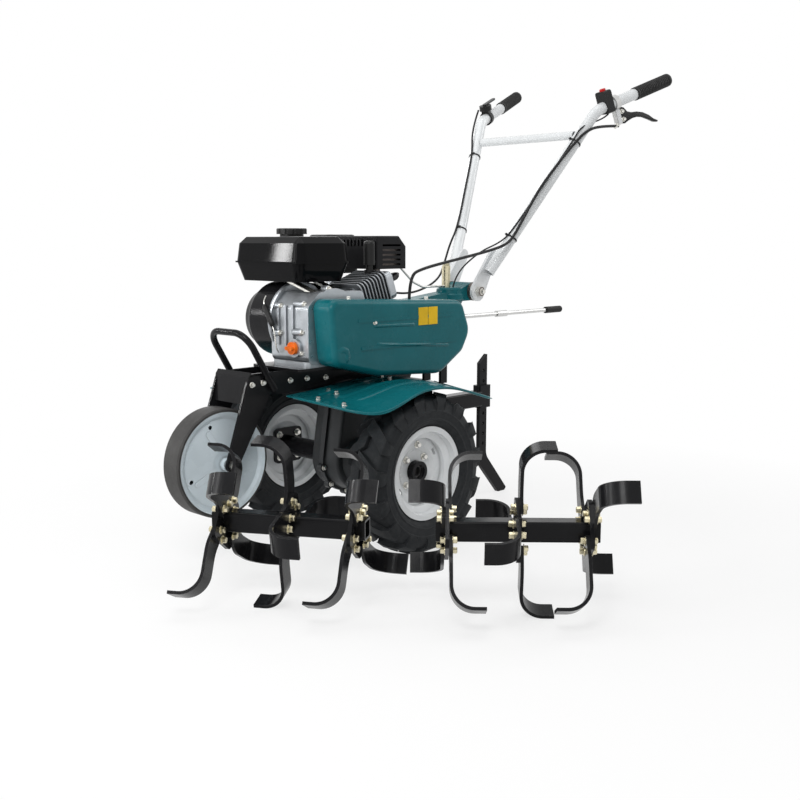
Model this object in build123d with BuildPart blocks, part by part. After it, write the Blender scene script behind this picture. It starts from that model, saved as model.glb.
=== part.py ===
from build123d import *
from math import cos, pi, radians, sin, tan
import os

os.makedirs("parts", exist_ok=True)

# Frame while modelling: X forward, Y to the driver's left, Z up, floor at zero under the drive axle.
# All sizes are millimetres.

# Fits
RUN_FIT = 0.05  # radial play of a shaft in its bearing
SEAT = 0.3  # play of a piece laid against a round or sloping seat
BAR_FIT = 0.4  # play of the depth bar in its socket

# Drive wheels
TYRE_R = 200.0
TYRE_WIDTH = 108.0
TRACK = 493.0
RIM_FLANGE_R = 114.5
RIM_WIDTH = 80.0
BEAD_R = 104.0
WELL_R = 86.0
RIM_SHEET = 2.5
DISC_SHEET = 4.0
HUB_R = 26.0
HUB_PROUD = 18.0  # hub tube past the wheel disc
HUB_FLANGE = 96.0
HUB_FLANGE_THICK = 6.0
AXLE_R = 17.0
AXLE_BORE_R = 12.0
AXLE_BORE_DEPTH = 60.0

# Gearbox
GEARBOX_HALF = 50.0
GEARBOX_AXLE_R = 82.0
INPUT_X = -172.0
INPUT_Z = 505.0
GEARBOX_INPUT_R = 76.0
GEARBOX_NOSE = (10.0, 376.0, 44.0)  # round that reaches forward under the engine bed
GEARBOX_DRAFT = 7.0
SPLIT_LIP = 6.0  # flange on the joint between the two half castings
SPLIT_THICK = 14.0
AXLE_BOSS_R = 60.0
AXLE_BOSS_DRAFT = 34.0
AXLE_BOSS_LENGTH = 18.0
HUB_GAP = 7.0  # between axle boss and hub tube

# Engine bed and nose
RAIL_THICK = 6.0
RAIL_HEIGHT = 60.0
RAIL_FRONT = 352.0
BED_TOP = 458.0
BED_THICK = 6.0
FORK_THICK = 6.0
FORK_WEB_THICK = 5.0
BUMPER_R = 8.0
BUMPER_TOP = 547.0

# Transport wheel at the nose
NOSE_WHEEL_X = 409.0
NOSE_WHEEL_Z = 249.0
NOSE_TYRE_R = 127.0
NOSE_DISC_R = 119.0
NOSE_WIDTH = 58.0
NOSE_SHEET = 2.0
NOSE_BOLT_R = 7.0
NOSE_HUB_R = 15.0
NOSE_CONE = 0.174  # slope of the pressed discs

# Engine
CRANK_X = 140.0
CRANK_Z = 562.0
CASE_RIGHT = -22.0
CASE_FRONT = 222.0
CASE_TOP = 634.0
SHROUD_R = 92.0
SHROUD_DEPTH = 84.0
STARTER_R = 80.0
STARTER_DEPTH = 34.0
CYLINDER_TILT = 20.0
FIN_COUNT = 9
FIN_PITCH = 11.0
FIN_THICK = 3.5
FIN_WIDTH = 116.0
FIN_HEIGHT = 96.0
HEAD_WIDTH = 96.0
HEAD_HEIGHT = 72.0
CYLINDER_Y = 44.0
TANK_LENGTH = 176.0
TANK_WIDTH = 258.0
TANK_X = 130.0
TANK_Y = -52.0
TANK_BASE = 656.0
TANK_SEAM = 702.0
TANK_TOP = 763.0
TANK_BEVEL = 16.0
TANK_SHEET = 1.6
CAP_R = 37.0
CAP_TOP = 783.0
GUARD_LENGTH = 106.0
GUARD_WIDTH = 146.0
GUARD_X = -100.0
GUARD_Y = -6.0
GUARD_BASE = 682.0
GUARD_TOP = 765.0
GUARD_SHEET = 1.6
GUARD_CHAMFER = 26.0

# Belt cover
COVER_INNER = 114.0
COVER_OUTER = 172.0
COVER_SHEET = 2.0
COVER_EDGE = 14.0

# Fenders
FENDER_SHEET = 2.0
FENDER_INNER = 66.0
FENDER_OUTER = 306.0
FENDER_FRONT = 256.0
FENDER_REAR = -240.0
FENDER_CORNERS = (6.0, 110.0, 36.0, 6.0)
FENDER_TRIM = 5.0  # sheet past the outline, cut off after pressing

# Handlebar
PIVOT_X = -455.0
PIVOT_Z = 612.0
TURNTABLE_X = -400.0
TURNTABLE_R = 43.0
TURNTABLE_TOP = 624.0
TURNTABLE_HEIGHT = 62.0
NECK_HALF = 24.0
EAR_INNER = 50.0
EAR_THICK = 8.0
EAR_R = 27.0
BAR_R = 16.0
BAR_WALL = 2.0
GRIP_R = 19.0
GRIP_LENGTH = 142.0
ARM_BEND_R = 80.0
PIVOT_BOLT_R = 8.0
CLUTCH_CABLE_R = 4.0
THROTTLE_CABLE_R = 3.0
SWITCH_WIRE_R = 2.2
ROD_R = 3.0

# Depth bar and hitch
STAKE_X = -546.0
STAKE_WIDTH = 32.0
STAKE_THICK = 12.0
STAKE_TOP = 425.0
STAKE_KINK = 112.0
STAKE_FOOT = -84.0  # how far back the foot kicks
SOCKET_WALL = 8.0
SOCKET_BASE = 268.0
SOCKET_TOP = 334.0
HITCH_TUBE = 44.0
HITCH_WALL = 4.0
HITCH_Z = 296.0

# Gear lever
LEVER_R = 6.0
LEVER_Y = 38.0
LEVER_Z = 543.0
LEVER_END = -868.0
LEVER_GRIP_R = 10.0
LEVER_GRIP_LENGTH = 80.0

# Tine rotors
TINE_ELBOW = 78.0  # from the rotor axis to where a tine starts to lean
TINE_REACH = 101.0  # from there to the outer face of its tip
TINE_WIDTH = 44.0
TINE_THICK = 7.0
TINE_BEND_R = 46.0
TINE_LEAN = 28.0
TINE_TIP = 22.0  # straight tip after the bend
TINES_PER_FLANGE = 4
MIDDLE_TURN = 16.0  # brings the middle tips straight above and below the tube
END_TURN = 40.0  # end flanges are turned against the middle one
FLANGE_SPACING = 142.0
FLANGE_R = 52.0
FLANGE_THICK = 8.0
ROTOR_TUBE = 42.0
ROTOR_TUBE_WALL = 4.5
ROTOR_TUBE_OVERHANG = 22.0
# Each rotor: place on the floor, heading of its tube, and which way its upright tines bend at each flange
ROTORS = {
    "right": (471.0, 335.0, 121.0, (-1, -1, -1)),
    "left": (182.0, 697.5, 132.7, (1, 1, -1)),
}

AXLE_Z = TYRE_R
WHEEL_Y = TRACK / 2
RAIL_OUTER = GEARBOX_HALF + RAIL_THICK
FORK_OUTER = RAIL_OUTER + FORK_THICK
AXLE_AXIS = Axis((0, 0, AXLE_Z), (0, 1, 0))
NOSE_AXIS = Axis((NOSE_WHEEL_X, 0, NOSE_WHEEL_Z), (0, 1, 0))
CASE_LEFT = COVER_INNER - COVER_SHEET
SIDES = {"left": 1, "right": -1}

finished = {}


def keep(builder, label):
    """Label a finished piece and store it for the export at the end."""
    builder.part.label = label
    finished[label] = builder.part


def wheel_section(x, y, z, side):
    """Plane through a wheel axis: local x points out from the machine, local y is the radius."""
    return Plane(origin=(x, y, z), x_dir=(0, side, 0), z_dir=(side, 0, 0))


def side_plane(y):
    """Upright plane facing left at height y: local x runs forward reversed, local y is up."""
    return Plane(origin=(0, y, 0), x_dir=(-1, 0, 0), z_dir=(0, 1, 0))


def facing(x, y, z, side):
    """Upright plane at a point, facing left for side 1 and right for side -1."""
    return Plane(origin=(x, y, z), x_dir=(1, 0, 0), z_dir=(0, side, 0))


def profile(*points):
    """Points given as forward, up turned into the local axes of side_plane."""
    return [(-x, z) for x, z in points]


# Axle shaft, bored at both ends
axle_end = WHEEL_Y + 2
with BuildPart() as axle_shaft:
    with BuildSketch(Plane(origin=(0, -axle_end, AXLE_Z), x_dir=(1, 0, 0), z_dir=(0, 1, 0))):
        Circle(AXLE_R)
    extrude(amount=2 * axle_end)
    for side in SIDES.values():
        with BuildSketch(Plane(origin=(0, side * axle_end, AXLE_Z), x_dir=(1, 0, 0), z_dir=(0, side, 0))):
            Circle(AXLE_BORE_R)
        extrude(amount=-AXLE_BORE_DEPTH, mode=Mode.SUBTRACT)
    chamfer(axle_shaft.edges().filter_by(GeomType.CIRCLE).sort_by(SortBy.RADIUS)[-2:], 1.5)
keep(axle_shaft, "axle_shaft")

hub_start = GEARBOX_HALF + AXLE_BOSS_LENGTH + HUB_GAP
disc_out = -4.0  # outer face of the wheel disc from the wheel's middle
for name, side in SIDES.items():
    # Hub tube with the square flange that carries the wheel disc
    flange_y = side * (WHEEL_Y + disc_out - DISC_SHEET)
    hub_end = WHEEL_Y + disc_out + HUB_PROUD
    with BuildPart() as hub:
        with BuildSketch(Plane(origin=(0, side * hub_start, AXLE_Z), x_dir=(1, 0, 0), z_dir=(0, side, 0))):
            Circle(HUB_R)
            Circle(AXLE_R + RUN_FIT, mode=Mode.SUBTRACT)
        extrude(amount=hub_end - hub_start)
        with BuildSketch(Plane(origin=(0, flange_y, AXLE_Z), x_dir=(1, 0, 0), z_dir=(0, side, 0))):
            RectangleRounded(HUB_FLANGE, HUB_FLANGE, 14)
            Circle(HUB_R - 1, mode=Mode.SUBTRACT)
        extrude(amount=-HUB_FLANGE_THICK)
    keep(hub, f"{name}_hub")

    # Pressed rim with a drop centre and the disc welded into it
    half = RIM_WIDTH / 2
    with BuildPart() as rim:
        with BuildSketch(wheel_section(0, side * WHEEL_Y, AXLE_Z, side)):
            with BuildLine():
                Polyline(
                    (-half, RIM_FLANGE_R),
                    (-half + RIM_SHEET, RIM_FLANGE_R),
                    (-half + RIM_SHEET, BEAD_R),
                    (-half * 0.55, BEAD_R - 2.5),
                    (-half * 0.38, WELL_R),
                    (half * 0.38, WELL_R),
                    (half * 0.55, BEAD_R - 2.5),
                    (half - RIM_SHEET, BEAD_R),
                    (half - RIM_SHEET, RIM_FLANGE_R),
                    (half, RIM_FLANGE_R),
                    (half, BEAD_R - RIM_SHEET),
                    (half * 0.60, BEAD_R - 5.5),
                    (half * 0.43, WELL_R - RIM_SHEET),
                    (-half * 0.43, WELL_R - RIM_SHEET),
                    (-half * 0.60, BEAD_R - 5.5),
                    (-half, BEAD_R - RIM_SHEET),
                    close=True,
                )
            make_face()
        revolve(axis=AXLE_AXIS)
        with BuildSketch(wheel_section(0, side * WHEEL_Y, AXLE_Z, side)):
            with BuildLine():
                Polyline(
                    (disc_out, HUB_R + SEAT),
                    (disc_out, 50),
                    (disc_out + 8, 62),
                    (disc_out + 8, WELL_R - 1),
                    (disc_out + 8 - DISC_SHEET, WELL_R - 1),
                    (disc_out + 8 - DISC_SHEET, 64),
                    (disc_out - DISC_SHEET, 52),
                    (disc_out - DISC_SHEET, HUB_R + SEAT),
                    close=True,
                )
            make_face()
        revolve(axis=AXLE_AXIS)
        with BuildSketch(Plane(origin=(0, side * WHEEL_Y, AXLE_Z), x_dir=(1, 0, 0), z_dir=(0, side, 0))):
            with PolarLocations(72, 2, start_angle=35):
                SlotOverall(20, 8, rotation=90)
        extrude(amount=half, both=True, mode=Mode.SUBTRACT)
    keep(rim, f"{name}_rim")

    # Tyre: hollow carcass, its crown at the height of the lug tops
    bead = half - RIM_SHEET - SEAT
    wide = TYRE_WIDTH / 2
    with BuildPart() as tyre:
        with BuildSketch(wheel_section(0, side * WHEEL_Y, AXLE_Z, side)):
            with BuildLine():
                Polyline((-bead + 11, BEAD_R + SEAT), (-bead, BEAD_R + SEAT), (-bead, RIM_FLANGE_R + 2))
                ThreePointArc((-bead, RIM_FLANGE_R + 2), (-wide, 148), (-wide + 3, TYRE_R - 20))
                Line((-wide + 3, TYRE_R - 20), (-wide + 12, TYRE_R - 5))
                ThreePointArc((-wide + 12, TYRE_R - 5), (0, TYRE_R), (wide - 12, TYRE_R - 5))
                Line((wide - 12, TYRE_R - 5), (wide - 3, TYRE_R - 20))
                ThreePointArc((wide - 3, TYRE_R - 20), (wide, 148), (bead, RIM_FLANGE_R + 2))
                Polyline((bead, RIM_FLANGE_R + 2), (bead, BEAD_R + SEAT), (bead - 11, BEAD_R + SEAT))
                Line((bead - 11, BEAD_R + SEAT), (bead - 9, RIM_FLANGE_R + 4))
                ThreePointArc((bead - 9, RIM_FLANGE_R + 4), (wide - 9, 148), (wide - 14, TYRE_R - 24))
                ThreePointArc((wide - 14, TYRE_R - 24), (0, TYRE_R - 16), (-wide + 14, TYRE_R - 24))
                ThreePointArc((-wide + 14, TYRE_R - 24), (-wide + 9, 148), (-bead + 9, RIM_FLANGE_R + 4))
                Line((-bead + 9, RIM_FLANGE_R + 4), (-bead + 11, BEAD_R + SEAT))
            make_face()
        revolve(axis=AXLE_AXIS)
    keep(tyre, f"{name}_tyre")

# Gearbox: two half castings from the axle up to the belt-driven input shaft
gearbox_rounds = (
    (0, AXLE_Z, GEARBOX_AXLE_R),
    (INPUT_X, INPUT_Z, GEARBOX_INPUT_R),
    GEARBOX_NOSE,
)
lug_angles = ((0, (-160, -125, -85, -45, -10)), (1, (40, 74)))
shift_boss_rear = INPUT_X - GEARBOX_INPUT_R - 14
with BuildPart() as gearbox_housing:
    with BuildSketch(side_plane(0)):
        for x, z, r in gearbox_rounds:
            with Locations(profile((x, z))):
                Circle(r)
        make_hull()
    extrude(amount=GEARBOX_HALF, both=True, taper=GEARBOX_DRAFT)
    fillet(gearbox_housing.edges().group_by(Axis.Y)[0], 8)
    fillet(gearbox_housing.edges().group_by(Axis.Y)[-1], 8)
    with BuildSketch(side_plane(0)):
        for x, z, r in gearbox_rounds:
            with Locations(profile((x, z))):
                Circle(r + SPLIT_LIP)
        make_hull()
        for which, angles in lug_angles:
            x, z, r = gearbox_rounds[which]
            for angle in angles:
                reach = r + SPLIT_LIP - 2
                with Locations(profile((x + reach * cos(radians(angle)), z + reach * sin(radians(angle))))):
                    Circle(11)
    extrude(amount=SPLIT_THICK / 2, both=True)
    for side in SIDES.values():
        with BuildSketch(facing(0, side * (GEARBOX_HALF - 1), AXLE_Z, side)):
            Circle(AXLE_BOSS_R)
        extrude(amount=AXLE_BOSS_LENGTH + 1, taper=AXLE_BOSS_DRAFT)
    with BuildSketch(Plane(origin=(shift_boss_rear, LEVER_Y, LEVER_Z), x_dir=(0, 1, 0), z_dir=(1, 0, 0))):
        Circle(11.5)
    extrude(amount=INPUT_X - shift_boss_rear - 30)
    with BuildSketch(facing(0, 0, AXLE_Z, 1)):
        Circle(AXLE_R + RUN_FIT)
    extrude(amount=GEARBOX_HALF + AXLE_BOSS_LENGTH + 1, both=True, mode=Mode.SUBTRACT)
keep(gearbox_housing, "gearbox_housing")

# Input bearing between gearbox and belt cover, with the arm that the clutch cable pulls
clutch_arm_x = INPUT_X + 34
clutch_arm_y = CASE_LEFT - 20
clutch_arm_top = INPUT_Z + 84
with BuildPart() as input_bearing:
    with BuildSketch(facing(INPUT_X, GEARBOX_HALF, INPUT_Z, 1)):
        Circle(52)
    extrude(amount=9)
    with BuildSketch(facing(INPUT_X, GEARBOX_HALF, INPUT_Z, 1)):
        Circle(38)
    extrude(amount=CASE_LEFT - GEARBOX_HALF)
    with BuildSketch(side_plane(clutch_arm_y - 4)):
        with Locations(profile((clutch_arm_x, clutch_arm_top - 12), (INPUT_X + 18, INPUT_Z + 20))):
            Circle(12)
        make_hull()
    extrude(amount=8)
keep(input_bearing, "input_bearing")

case_mid = CRANK_X - 18
foot_mid = (CASE_LEFT + CASE_RIGHT) / 2
# Engine bed: two side rails under a slotted plate
bed_rear = -70.0
plate_rear = 8.0
bed_front = 250.0
with BuildPart() as main_frame:
    for side in SIDES.values():
        with BuildSketch(side_plane(side * (GEARBOX_HALF + RAIL_THICK / 2))):
            with BuildLine():
                Polyline(
                    *profile(
                        (bed_rear, BED_TOP - BED_THICK),
                        (RAIL_FRONT, BED_TOP - BED_THICK),
                        (RAIL_FRONT, BED_TOP - 40),
                        (RAIL_FRONT - 60, BED_TOP - RAIL_HEIGHT),
                        (110, BED_TOP - RAIL_HEIGHT),
                        (40, BED_TOP - 78),
                        (bed_rear, BED_TOP - 78),
                    ),
                    close=True,
                )
            make_face()
        extrude(amount=RAIL_THICK / 2, both=True)
    with BuildSketch(Plane.XY.offset(BED_TOP - BED_THICK)):
        with Locations(((bed_front + plate_rear) / 2, (CASE_LEFT - 66) / 2)):
            RectangleRounded(bed_front - plate_rear, CASE_LEFT + 66, 10)
        with Locations((case_mid, foot_mid)):
            with GridLocations(162, 76, 2, 2):
                SlotOverall(34, 11, mode=Mode.SUBTRACT)
    extrude(amount=BED_THICK)
keep(main_frame, "main_frame")

# Fork that carries the transport wheel: two tapered arms and a bent web
with BuildPart() as front_fork:
    for side in SIDES.values():
        with BuildSketch(side_plane(side * (RAIL_OUTER + FORK_THICK / 2))):
            with Locations(profile((NOSE_WHEEL_X, NOSE_WHEEL_Z))):
                Circle(17)
            with Locations(profile((346, 428), (304, 428))):
                Circle(19)
            make_hull()
            with Locations(profile((NOSE_WHEEL_X, NOSE_WHEEL_Z))):
                Circle(NOSE_BOLT_R + RUN_FIT, mode=Mode.SUBTRACT)
        extrude(amount=FORK_THICK / 2, both=True)
    with BuildSketch(side_plane(0)):
        with BuildLine():
            Polyline(
                *profile(
                    (RAIL_FRONT + 1, BED_TOP - 2),
                    (RAIL_FRONT + 8, BED_TOP - 12),
                    (RAIL_FRONT + 18, 384),
                    (RAIL_FRONT + 18 - FORK_WEB_THICK, 384),
                    (RAIL_FRONT + 3, BED_TOP - 12),
                    (RAIL_FRONT + 0.5, BED_TOP - 6),
                ),
                close=True,
            )
        make_face()
    extrude(amount=FORK_OUTER, both=True)
keep(front_fork, "front_fork")

# Axle bolt of the transport wheel
with BuildPart() as front_axle_bolt:
    with BuildSketch(side_plane(0)):
        with Locations(profile((NOSE_WHEEL_X, NOSE_WHEEL_Z))):
            Circle(NOSE_BOLT_R)
    extrude(amount=FORK_OUTER + 14, both=True)
    for side in SIDES.values():
        with BuildSketch(
            Plane(origin=(NOSE_WHEEL_X, side * FORK_OUTER, NOSE_WHEEL_Z), x_dir=(1, 0, 0), z_dir=(0, side, 0))
        ):
            RegularPolygon(12, 6)
        extrude(amount=9)
keep(front_axle_bolt, "front_axle_bolt")

# Transport wheel: two pressed discs on a hub tube, closed by a flat rim
nose_half = NOSE_WIDTH / 2
with BuildPart() as front_wheel_disc:
    with BuildSketch(wheel_section(NOSE_WHEEL_X, 0, NOSE_WHEEL_Z, 1)):
        with BuildLine():
            Polyline(
                (-RAIL_OUTER + 8, NOSE_BOLT_R + RUN_FIT),
                (RAIL_OUTER - 8, NOSE_BOLT_R + RUN_FIT),
                (RAIL_OUTER - 8, NOSE_HUB_R),
                (nose_half + 4, NOSE_HUB_R),
                (nose_half + 4, 34),
                (nose_half + 4 - NOSE_CONE * (NOSE_DISC_R - 50), NOSE_DISC_R - 16),
                (nose_half - 2, NOSE_DISC_R - 8),
                (nose_half, NOSE_DISC_R),
                (-nose_half, NOSE_DISC_R),
                (-nose_half + 2, NOSE_DISC_R - 8),
                (-nose_half - 4 + NOSE_CONE * (NOSE_DISC_R - 50), NOSE_DISC_R - 16),
                (-nose_half - 4, 34),
                (-nose_half - 4, NOSE_HUB_R),
                (-RAIL_OUTER + 8, NOSE_HUB_R),
                close=True,
            )
        make_face()
        with BuildLine():
            Polyline(
                (nose_half + 4 - NOSE_SHEET, NOSE_HUB_R),
                (nose_half + 4 - NOSE_SHEET, 34),
                (nose_half - 8 - NOSE_SHEET, NOSE_DISC_R - 16),
                (nose_half - 5, NOSE_DISC_R - NOSE_SHEET),
                (-nose_half + 5, NOSE_DISC_R - NOSE_SHEET),
                (-nose_half + 8 + NOSE_SHEET, NOSE_DISC_R - 16),
                (-nose_half - 4 + NOSE_SHEET, 34),
                (-nose_half - 4 + NOSE_SHEET, NOSE_HUB_R),
                close=True,
            )
        make_face(mode=Mode.SUBTRACT)
    revolve(axis=NOSE_AXIS)
    with BuildSketch(side_plane(0)):
        with Locations(profile((NOSE_WHEEL_X, NOSE_WHEEL_Z))):
            with PolarLocations(92, 4, start_angle=20):
                Circle(5)
    extrude(amount=nose_half + 6, both=True, mode=Mode.SUBTRACT)
    for side in SIDES.values():
        for k in range(4):
            spoke = radians(90 * k + 62)
            out = Vector(cos(spoke), 0, sin(spoke))
            cone = (out * NOSE_CONE + Vector(0, side, 0)).normalized()
            middle = Vector(NOSE_WHEEL_X, side * (nose_half + 4 - NOSE_CONE * (66 - 34)), NOSE_WHEEL_Z) + out * 66
            with BuildSketch(Plane(origin=middle - cone * 1.5, x_dir=out - cone * out.dot(cone), z_dir=cone)):
                SlotOverall(44, 13)
            extrude(amount=3)
keep(front_wheel_disc, "front_wheel_disc")

with BuildPart() as front_tyre:
    with BuildSketch(wheel_section(NOSE_WHEEL_X, 0, NOSE_WHEEL_Z, 1)):
        with BuildLine():
            Polyline(
                (-nose_half, NOSE_DISC_R),
                (nose_half, NOSE_DISC_R),
                (nose_half, NOSE_TYRE_R - 3),
                (nose_half - 4, NOSE_TYRE_R),
                (-nose_half + 4, NOSE_TYRE_R),
                (-nose_half, NOSE_TYRE_R - 3),
                close=True,
            )
        make_face()
    revolve(axis=NOSE_AXIS)
keep(front_tyre, "front_tyre")

# Bumper: one round bar bent into a hoop, leaning forward from the fork roots
bumper_y = FORK_OUTER + BUMPER_R + SEAT
bumper_foot = (291, bumper_y, 412)
bumper_head = (372, bumper_y, BUMPER_TOP)
with BuildPart() as front_bumper:
    with BuildLine() as hoop:
        FilletPolyline(
            bumper_foot,
            bumper_head,
            (bumper_head[0], -bumper_y, BUMPER_TOP),
            (bumper_foot[0], -bumper_y, bumper_foot[2]),
            radius=42,
        )
    with BuildSketch(Plane(origin=hoop.line @ 0, z_dir=hoop.line % 0)):
        Circle(BUMPER_R)
    sweep()
keep(front_bumper, "front_bumper")

tilt = radians(CYLINDER_TILT)
bore_line = Vector(-cos(tilt), 0, sin(tilt))
crank = Vector(CRANK_X, CYLINDER_Y, CRANK_Z)
fins_start = 112.0


def bore_plane(distance):
    """Plane square to the cylinder bore, a distance from the crankshaft."""
    return Plane(origin=crank + bore_line * distance, x_dir=(0, 1, 0), z_dir=bore_line)


def bore_x(z):
    """Where the cylinder's joint face lies at a height."""
    return CRANK_X - (fins_start - sin(tilt) * (z - CRANK_Z)) / cos(tilt)


# Engine crankcase with its mounting foot
with BuildPart() as crankcase:
    with BuildSketch(Plane.XY.offset(BED_TOP)):
        with Locations((case_mid, foot_mid)):
            RectangleRounded(206, CASE_LEFT - CASE_RIGHT - 6, 12)
    extrude(amount=14)
    with BuildSketch(side_plane(CASE_RIGHT)):
        with BuildLine():
            FilletPolyline(
                *profile(
                    (CASE_FRONT, BED_TOP + 10),
                    (CASE_FRONT, CASE_TOP - 34),
                    (CASE_FRONT - 36, CASE_TOP),
                    (bore_x(CASE_TOP), CASE_TOP),
                    (bore_x(CRANK_Z - 8), CRANK_Z - 8),
                    (bore_x(CRANK_Z - 8), BED_TOP + 10),
                ),
                radius=16,
                close=True,
            )
        make_face()
    extrude(amount=CASE_LEFT - CASE_RIGHT)
    with BuildSketch(side_plane(CASE_RIGHT)):
        with Locations(profile((CRANK_X, CRANK_Z))):
            Circle(SHROUD_R - 3)
    extrude(amount=12)
    with BuildSketch(side_plane(CASE_LEFT - 14)):
        with Locations(profile((CRANK_X, CRANK_Z))):
            Circle(SHROUD_R - 12)
    extrude(amount=14)
    with BuildSketch(Plane(origin=(CASE_FRONT, foot_mid - 12, CRANK_Z - 6), x_dir=(0, 1, 0), z_dir=(1, 0, 0))):
        with GridLocations(26, 0, 3, 1):
            RectangleRounded(7, 96, 3)
    extrude(amount=4)
    with BuildSketch(Plane(origin=(CASE_FRONT, 0, 0), x_dir=(0, 1, 0), z_dir=(1, 0, 0))):
        with Locations((CASE_LEFT - 44, BED_TOP + 46)):
            Circle(22)
    extrude(amount=8)
keep(crankcase, "crankcase")

# Fan shroud: sheet drum over the flywheel, drawn out towards the cylinder
with BuildPart() as fan_shroud:
    shroud_plane = side_plane(CASE_RIGHT - SEAT)
    with BuildSketch(shroud_plane):
        with Locations(profile((CRANK_X, CRANK_Z))):
            Circle(SHROUD_R)
        with Locations(profile((14, 600))):
            Circle(42)
        make_hull()
    extrude(amount=-SHROUD_DEPTH)
    fillet(fan_shroud.edges().group_by(Axis.Y)[0], 14)
    offset(amount=-GUARD_SHEET, openings=fan_shroud.faces().sort_by(Axis.Y)[-1])
keep(fan_shroud, "fan_shroud")

# Recoil starter cap
starter_y = CASE_RIGHT - SEAT - SHROUD_DEPTH
with BuildPart() as recoil_starter:
    with BuildSketch(side_plane(starter_y)):
        with Locations(profile((CRANK_X, CRANK_Z))):
            Circle(STARTER_R)
    extrude(amount=-STARTER_DEPTH, taper=14)
    fillet(recoil_starter.edges().group_by(Axis.Y)[0], 10)
    offset(amount=-GUARD_SHEET, openings=recoil_starter.faces().sort_by(Axis.Y)[-1])
    with BuildSketch(side_plane(starter_y - STARTER_DEPTH)):
        with Locations(profile((CRANK_X, CRANK_Z))):
            with PolarLocations(46, 12):
                SlotOverall(30, 7)
    extrude(amount=10, mode=Mode.SUBTRACT)
keep(recoil_starter, "recoil_starter")

# Finned cylinder on the tilted bore line
with BuildPart() as cylinder_fins:
    with BuildSketch(bore_plane(fins_start)):
        RectangleRounded(78, 78, 14)
    extrude(amount=FIN_COUNT * FIN_PITCH)
    for i in range(FIN_COUNT):
        with BuildSketch(bore_plane(fins_start + (i + 0.5) * FIN_PITCH)):
            RectangleRounded(FIN_WIDTH, FIN_HEIGHT, 16)
        extrude(amount=FIN_THICK)
keep(cylinder_fins, "cylinder_fins")

head_start = fins_start + FIN_COUNT * FIN_PITCH
with BuildPart() as cylinder_head_cover:
    with BuildSketch(bore_plane(head_start)):
        RectangleRounded(HEAD_WIDTH, HEAD_HEIGHT, 14)
    extrude(amount=30)
    fillet(cylinder_head_cover.faces().filter_by(Plane(origin=(0, 0, 0), z_dir=bore_line)).edges(), 4)
keep(cylinder_head_cover, "cylinder_head_cover")

# Exhaust stub from the top of the head up to the muffler
head_up = Vector(sin(tilt), 0, cos(tilt))
with BuildPart() as exhaust_pipe:
    with BuildSketch(Plane(origin=crank + bore_line * (head_start + 22) + head_up * (HEAD_HEIGHT / 2), z_dir=head_up)):
        Circle(11)
        Circle(9, mode=Mode.SUBTRACT)
    extrude(amount=60)
    split(bisect_by=Plane.XY.offset(GUARD_BASE + 6), keep=Keep.BOTTOM)
keep(exhaust_pipe, "exhaust_pipe")

# Muffler can and its louvred guard
with BuildPart() as muffler:
    with BuildSketch(Plane.XY.offset(GUARD_BASE + 6)):
        with Locations((GUARD_X, GUARD_Y)):
            RectangleRounded(GUARD_LENGTH - 2 * (GUARD_SHEET + SEAT), GUARD_WIDTH - 24, 22)
    extrude(amount=GUARD_TOP - GUARD_CHAMFER - GUARD_BASE - 8)
    offset(amount=-GUARD_SHEET, mode=Mode.SUBTRACT)
keep(muffler, "muffler")

guard_front = GUARD_X + GUARD_LENGTH / 2
guard_rear = GUARD_X - GUARD_LENGTH / 2
guard_left = GUARD_Y + GUARD_WIDTH / 2
with BuildPart() as muffler_guard:
    with BuildSketch(side_plane(guard_left)):
        with BuildLine():
            Polyline(
                *profile(
                    (guard_front, GUARD_BASE),
                    (guard_front, GUARD_TOP),
                    (guard_rear + GUARD_CHAMFER, GUARD_TOP),
                    (guard_rear, GUARD_TOP - GUARD_CHAMFER),
                    (guard_rear, GUARD_BASE),
                ),
                close=True,
            )
        make_face()
    extrude(amount=-GUARD_WIDTH)
    fillet(muffler_guard.edges().filter_by(GeomType.LINE).group_by(Axis.Z)[1:], 4)
    offset(amount=-GUARD_SHEET, openings=muffler_guard.faces().sort_by(Axis.Z)[0])
    with BuildSketch(facing(GUARD_X, guard_left, (GUARD_BASE + GUARD_TOP) / 2 - 6, 1)):
        with GridLocations(0, 12, 1, 5):
            SlotOverall(66, 5)
    extrude(amount=-8, mode=Mode.SUBTRACT)
    with BuildSketch(Plane(origin=(guard_front, GUARD_Y, GUARD_TOP - 18), x_dir=(0, 1, 0), z_dir=(1, 0, 0))):
        with GridLocations(13, 0, 8, 1):
            SlotOverall(18, 6, rotation=90)
    extrude(amount=-8, mode=Mode.SUBTRACT)
keep(muffler_guard, "muffler_guard")

# Exhaust post in front of the guard, standing on the fins
post_r = 14.5
post_x = guard_front + post_r + SEAT
post_y = guard_left - 12
post_foot = 9.0
post_way = (CRANK_X + head_up.X * FIN_HEIGHT / 2 - post_x + post_foot) / cos(tilt)
post_seat = CRANK_Z + post_way * sin(tilt) + head_up.Z * FIN_HEIGHT / 2 + SEAT
with BuildPart() as exhaust_post:
    with BuildSketch(Plane.XY.offset(post_seat)):
        with Locations((post_x, post_y)):
            Circle(post_foot)
    extrude(amount=20)
    with BuildSketch(Plane.XY.offset(post_seat + 14)):
        with Locations((post_x, post_y)):
            Circle(post_r)
    extrude(amount=GUARD_TOP - 12 - post_seat - 14)
    fillet(exhaust_post.edges().group_by(Axis.Z)[-1], 8)
keep(exhaust_post, "exhaust_post")

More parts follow.
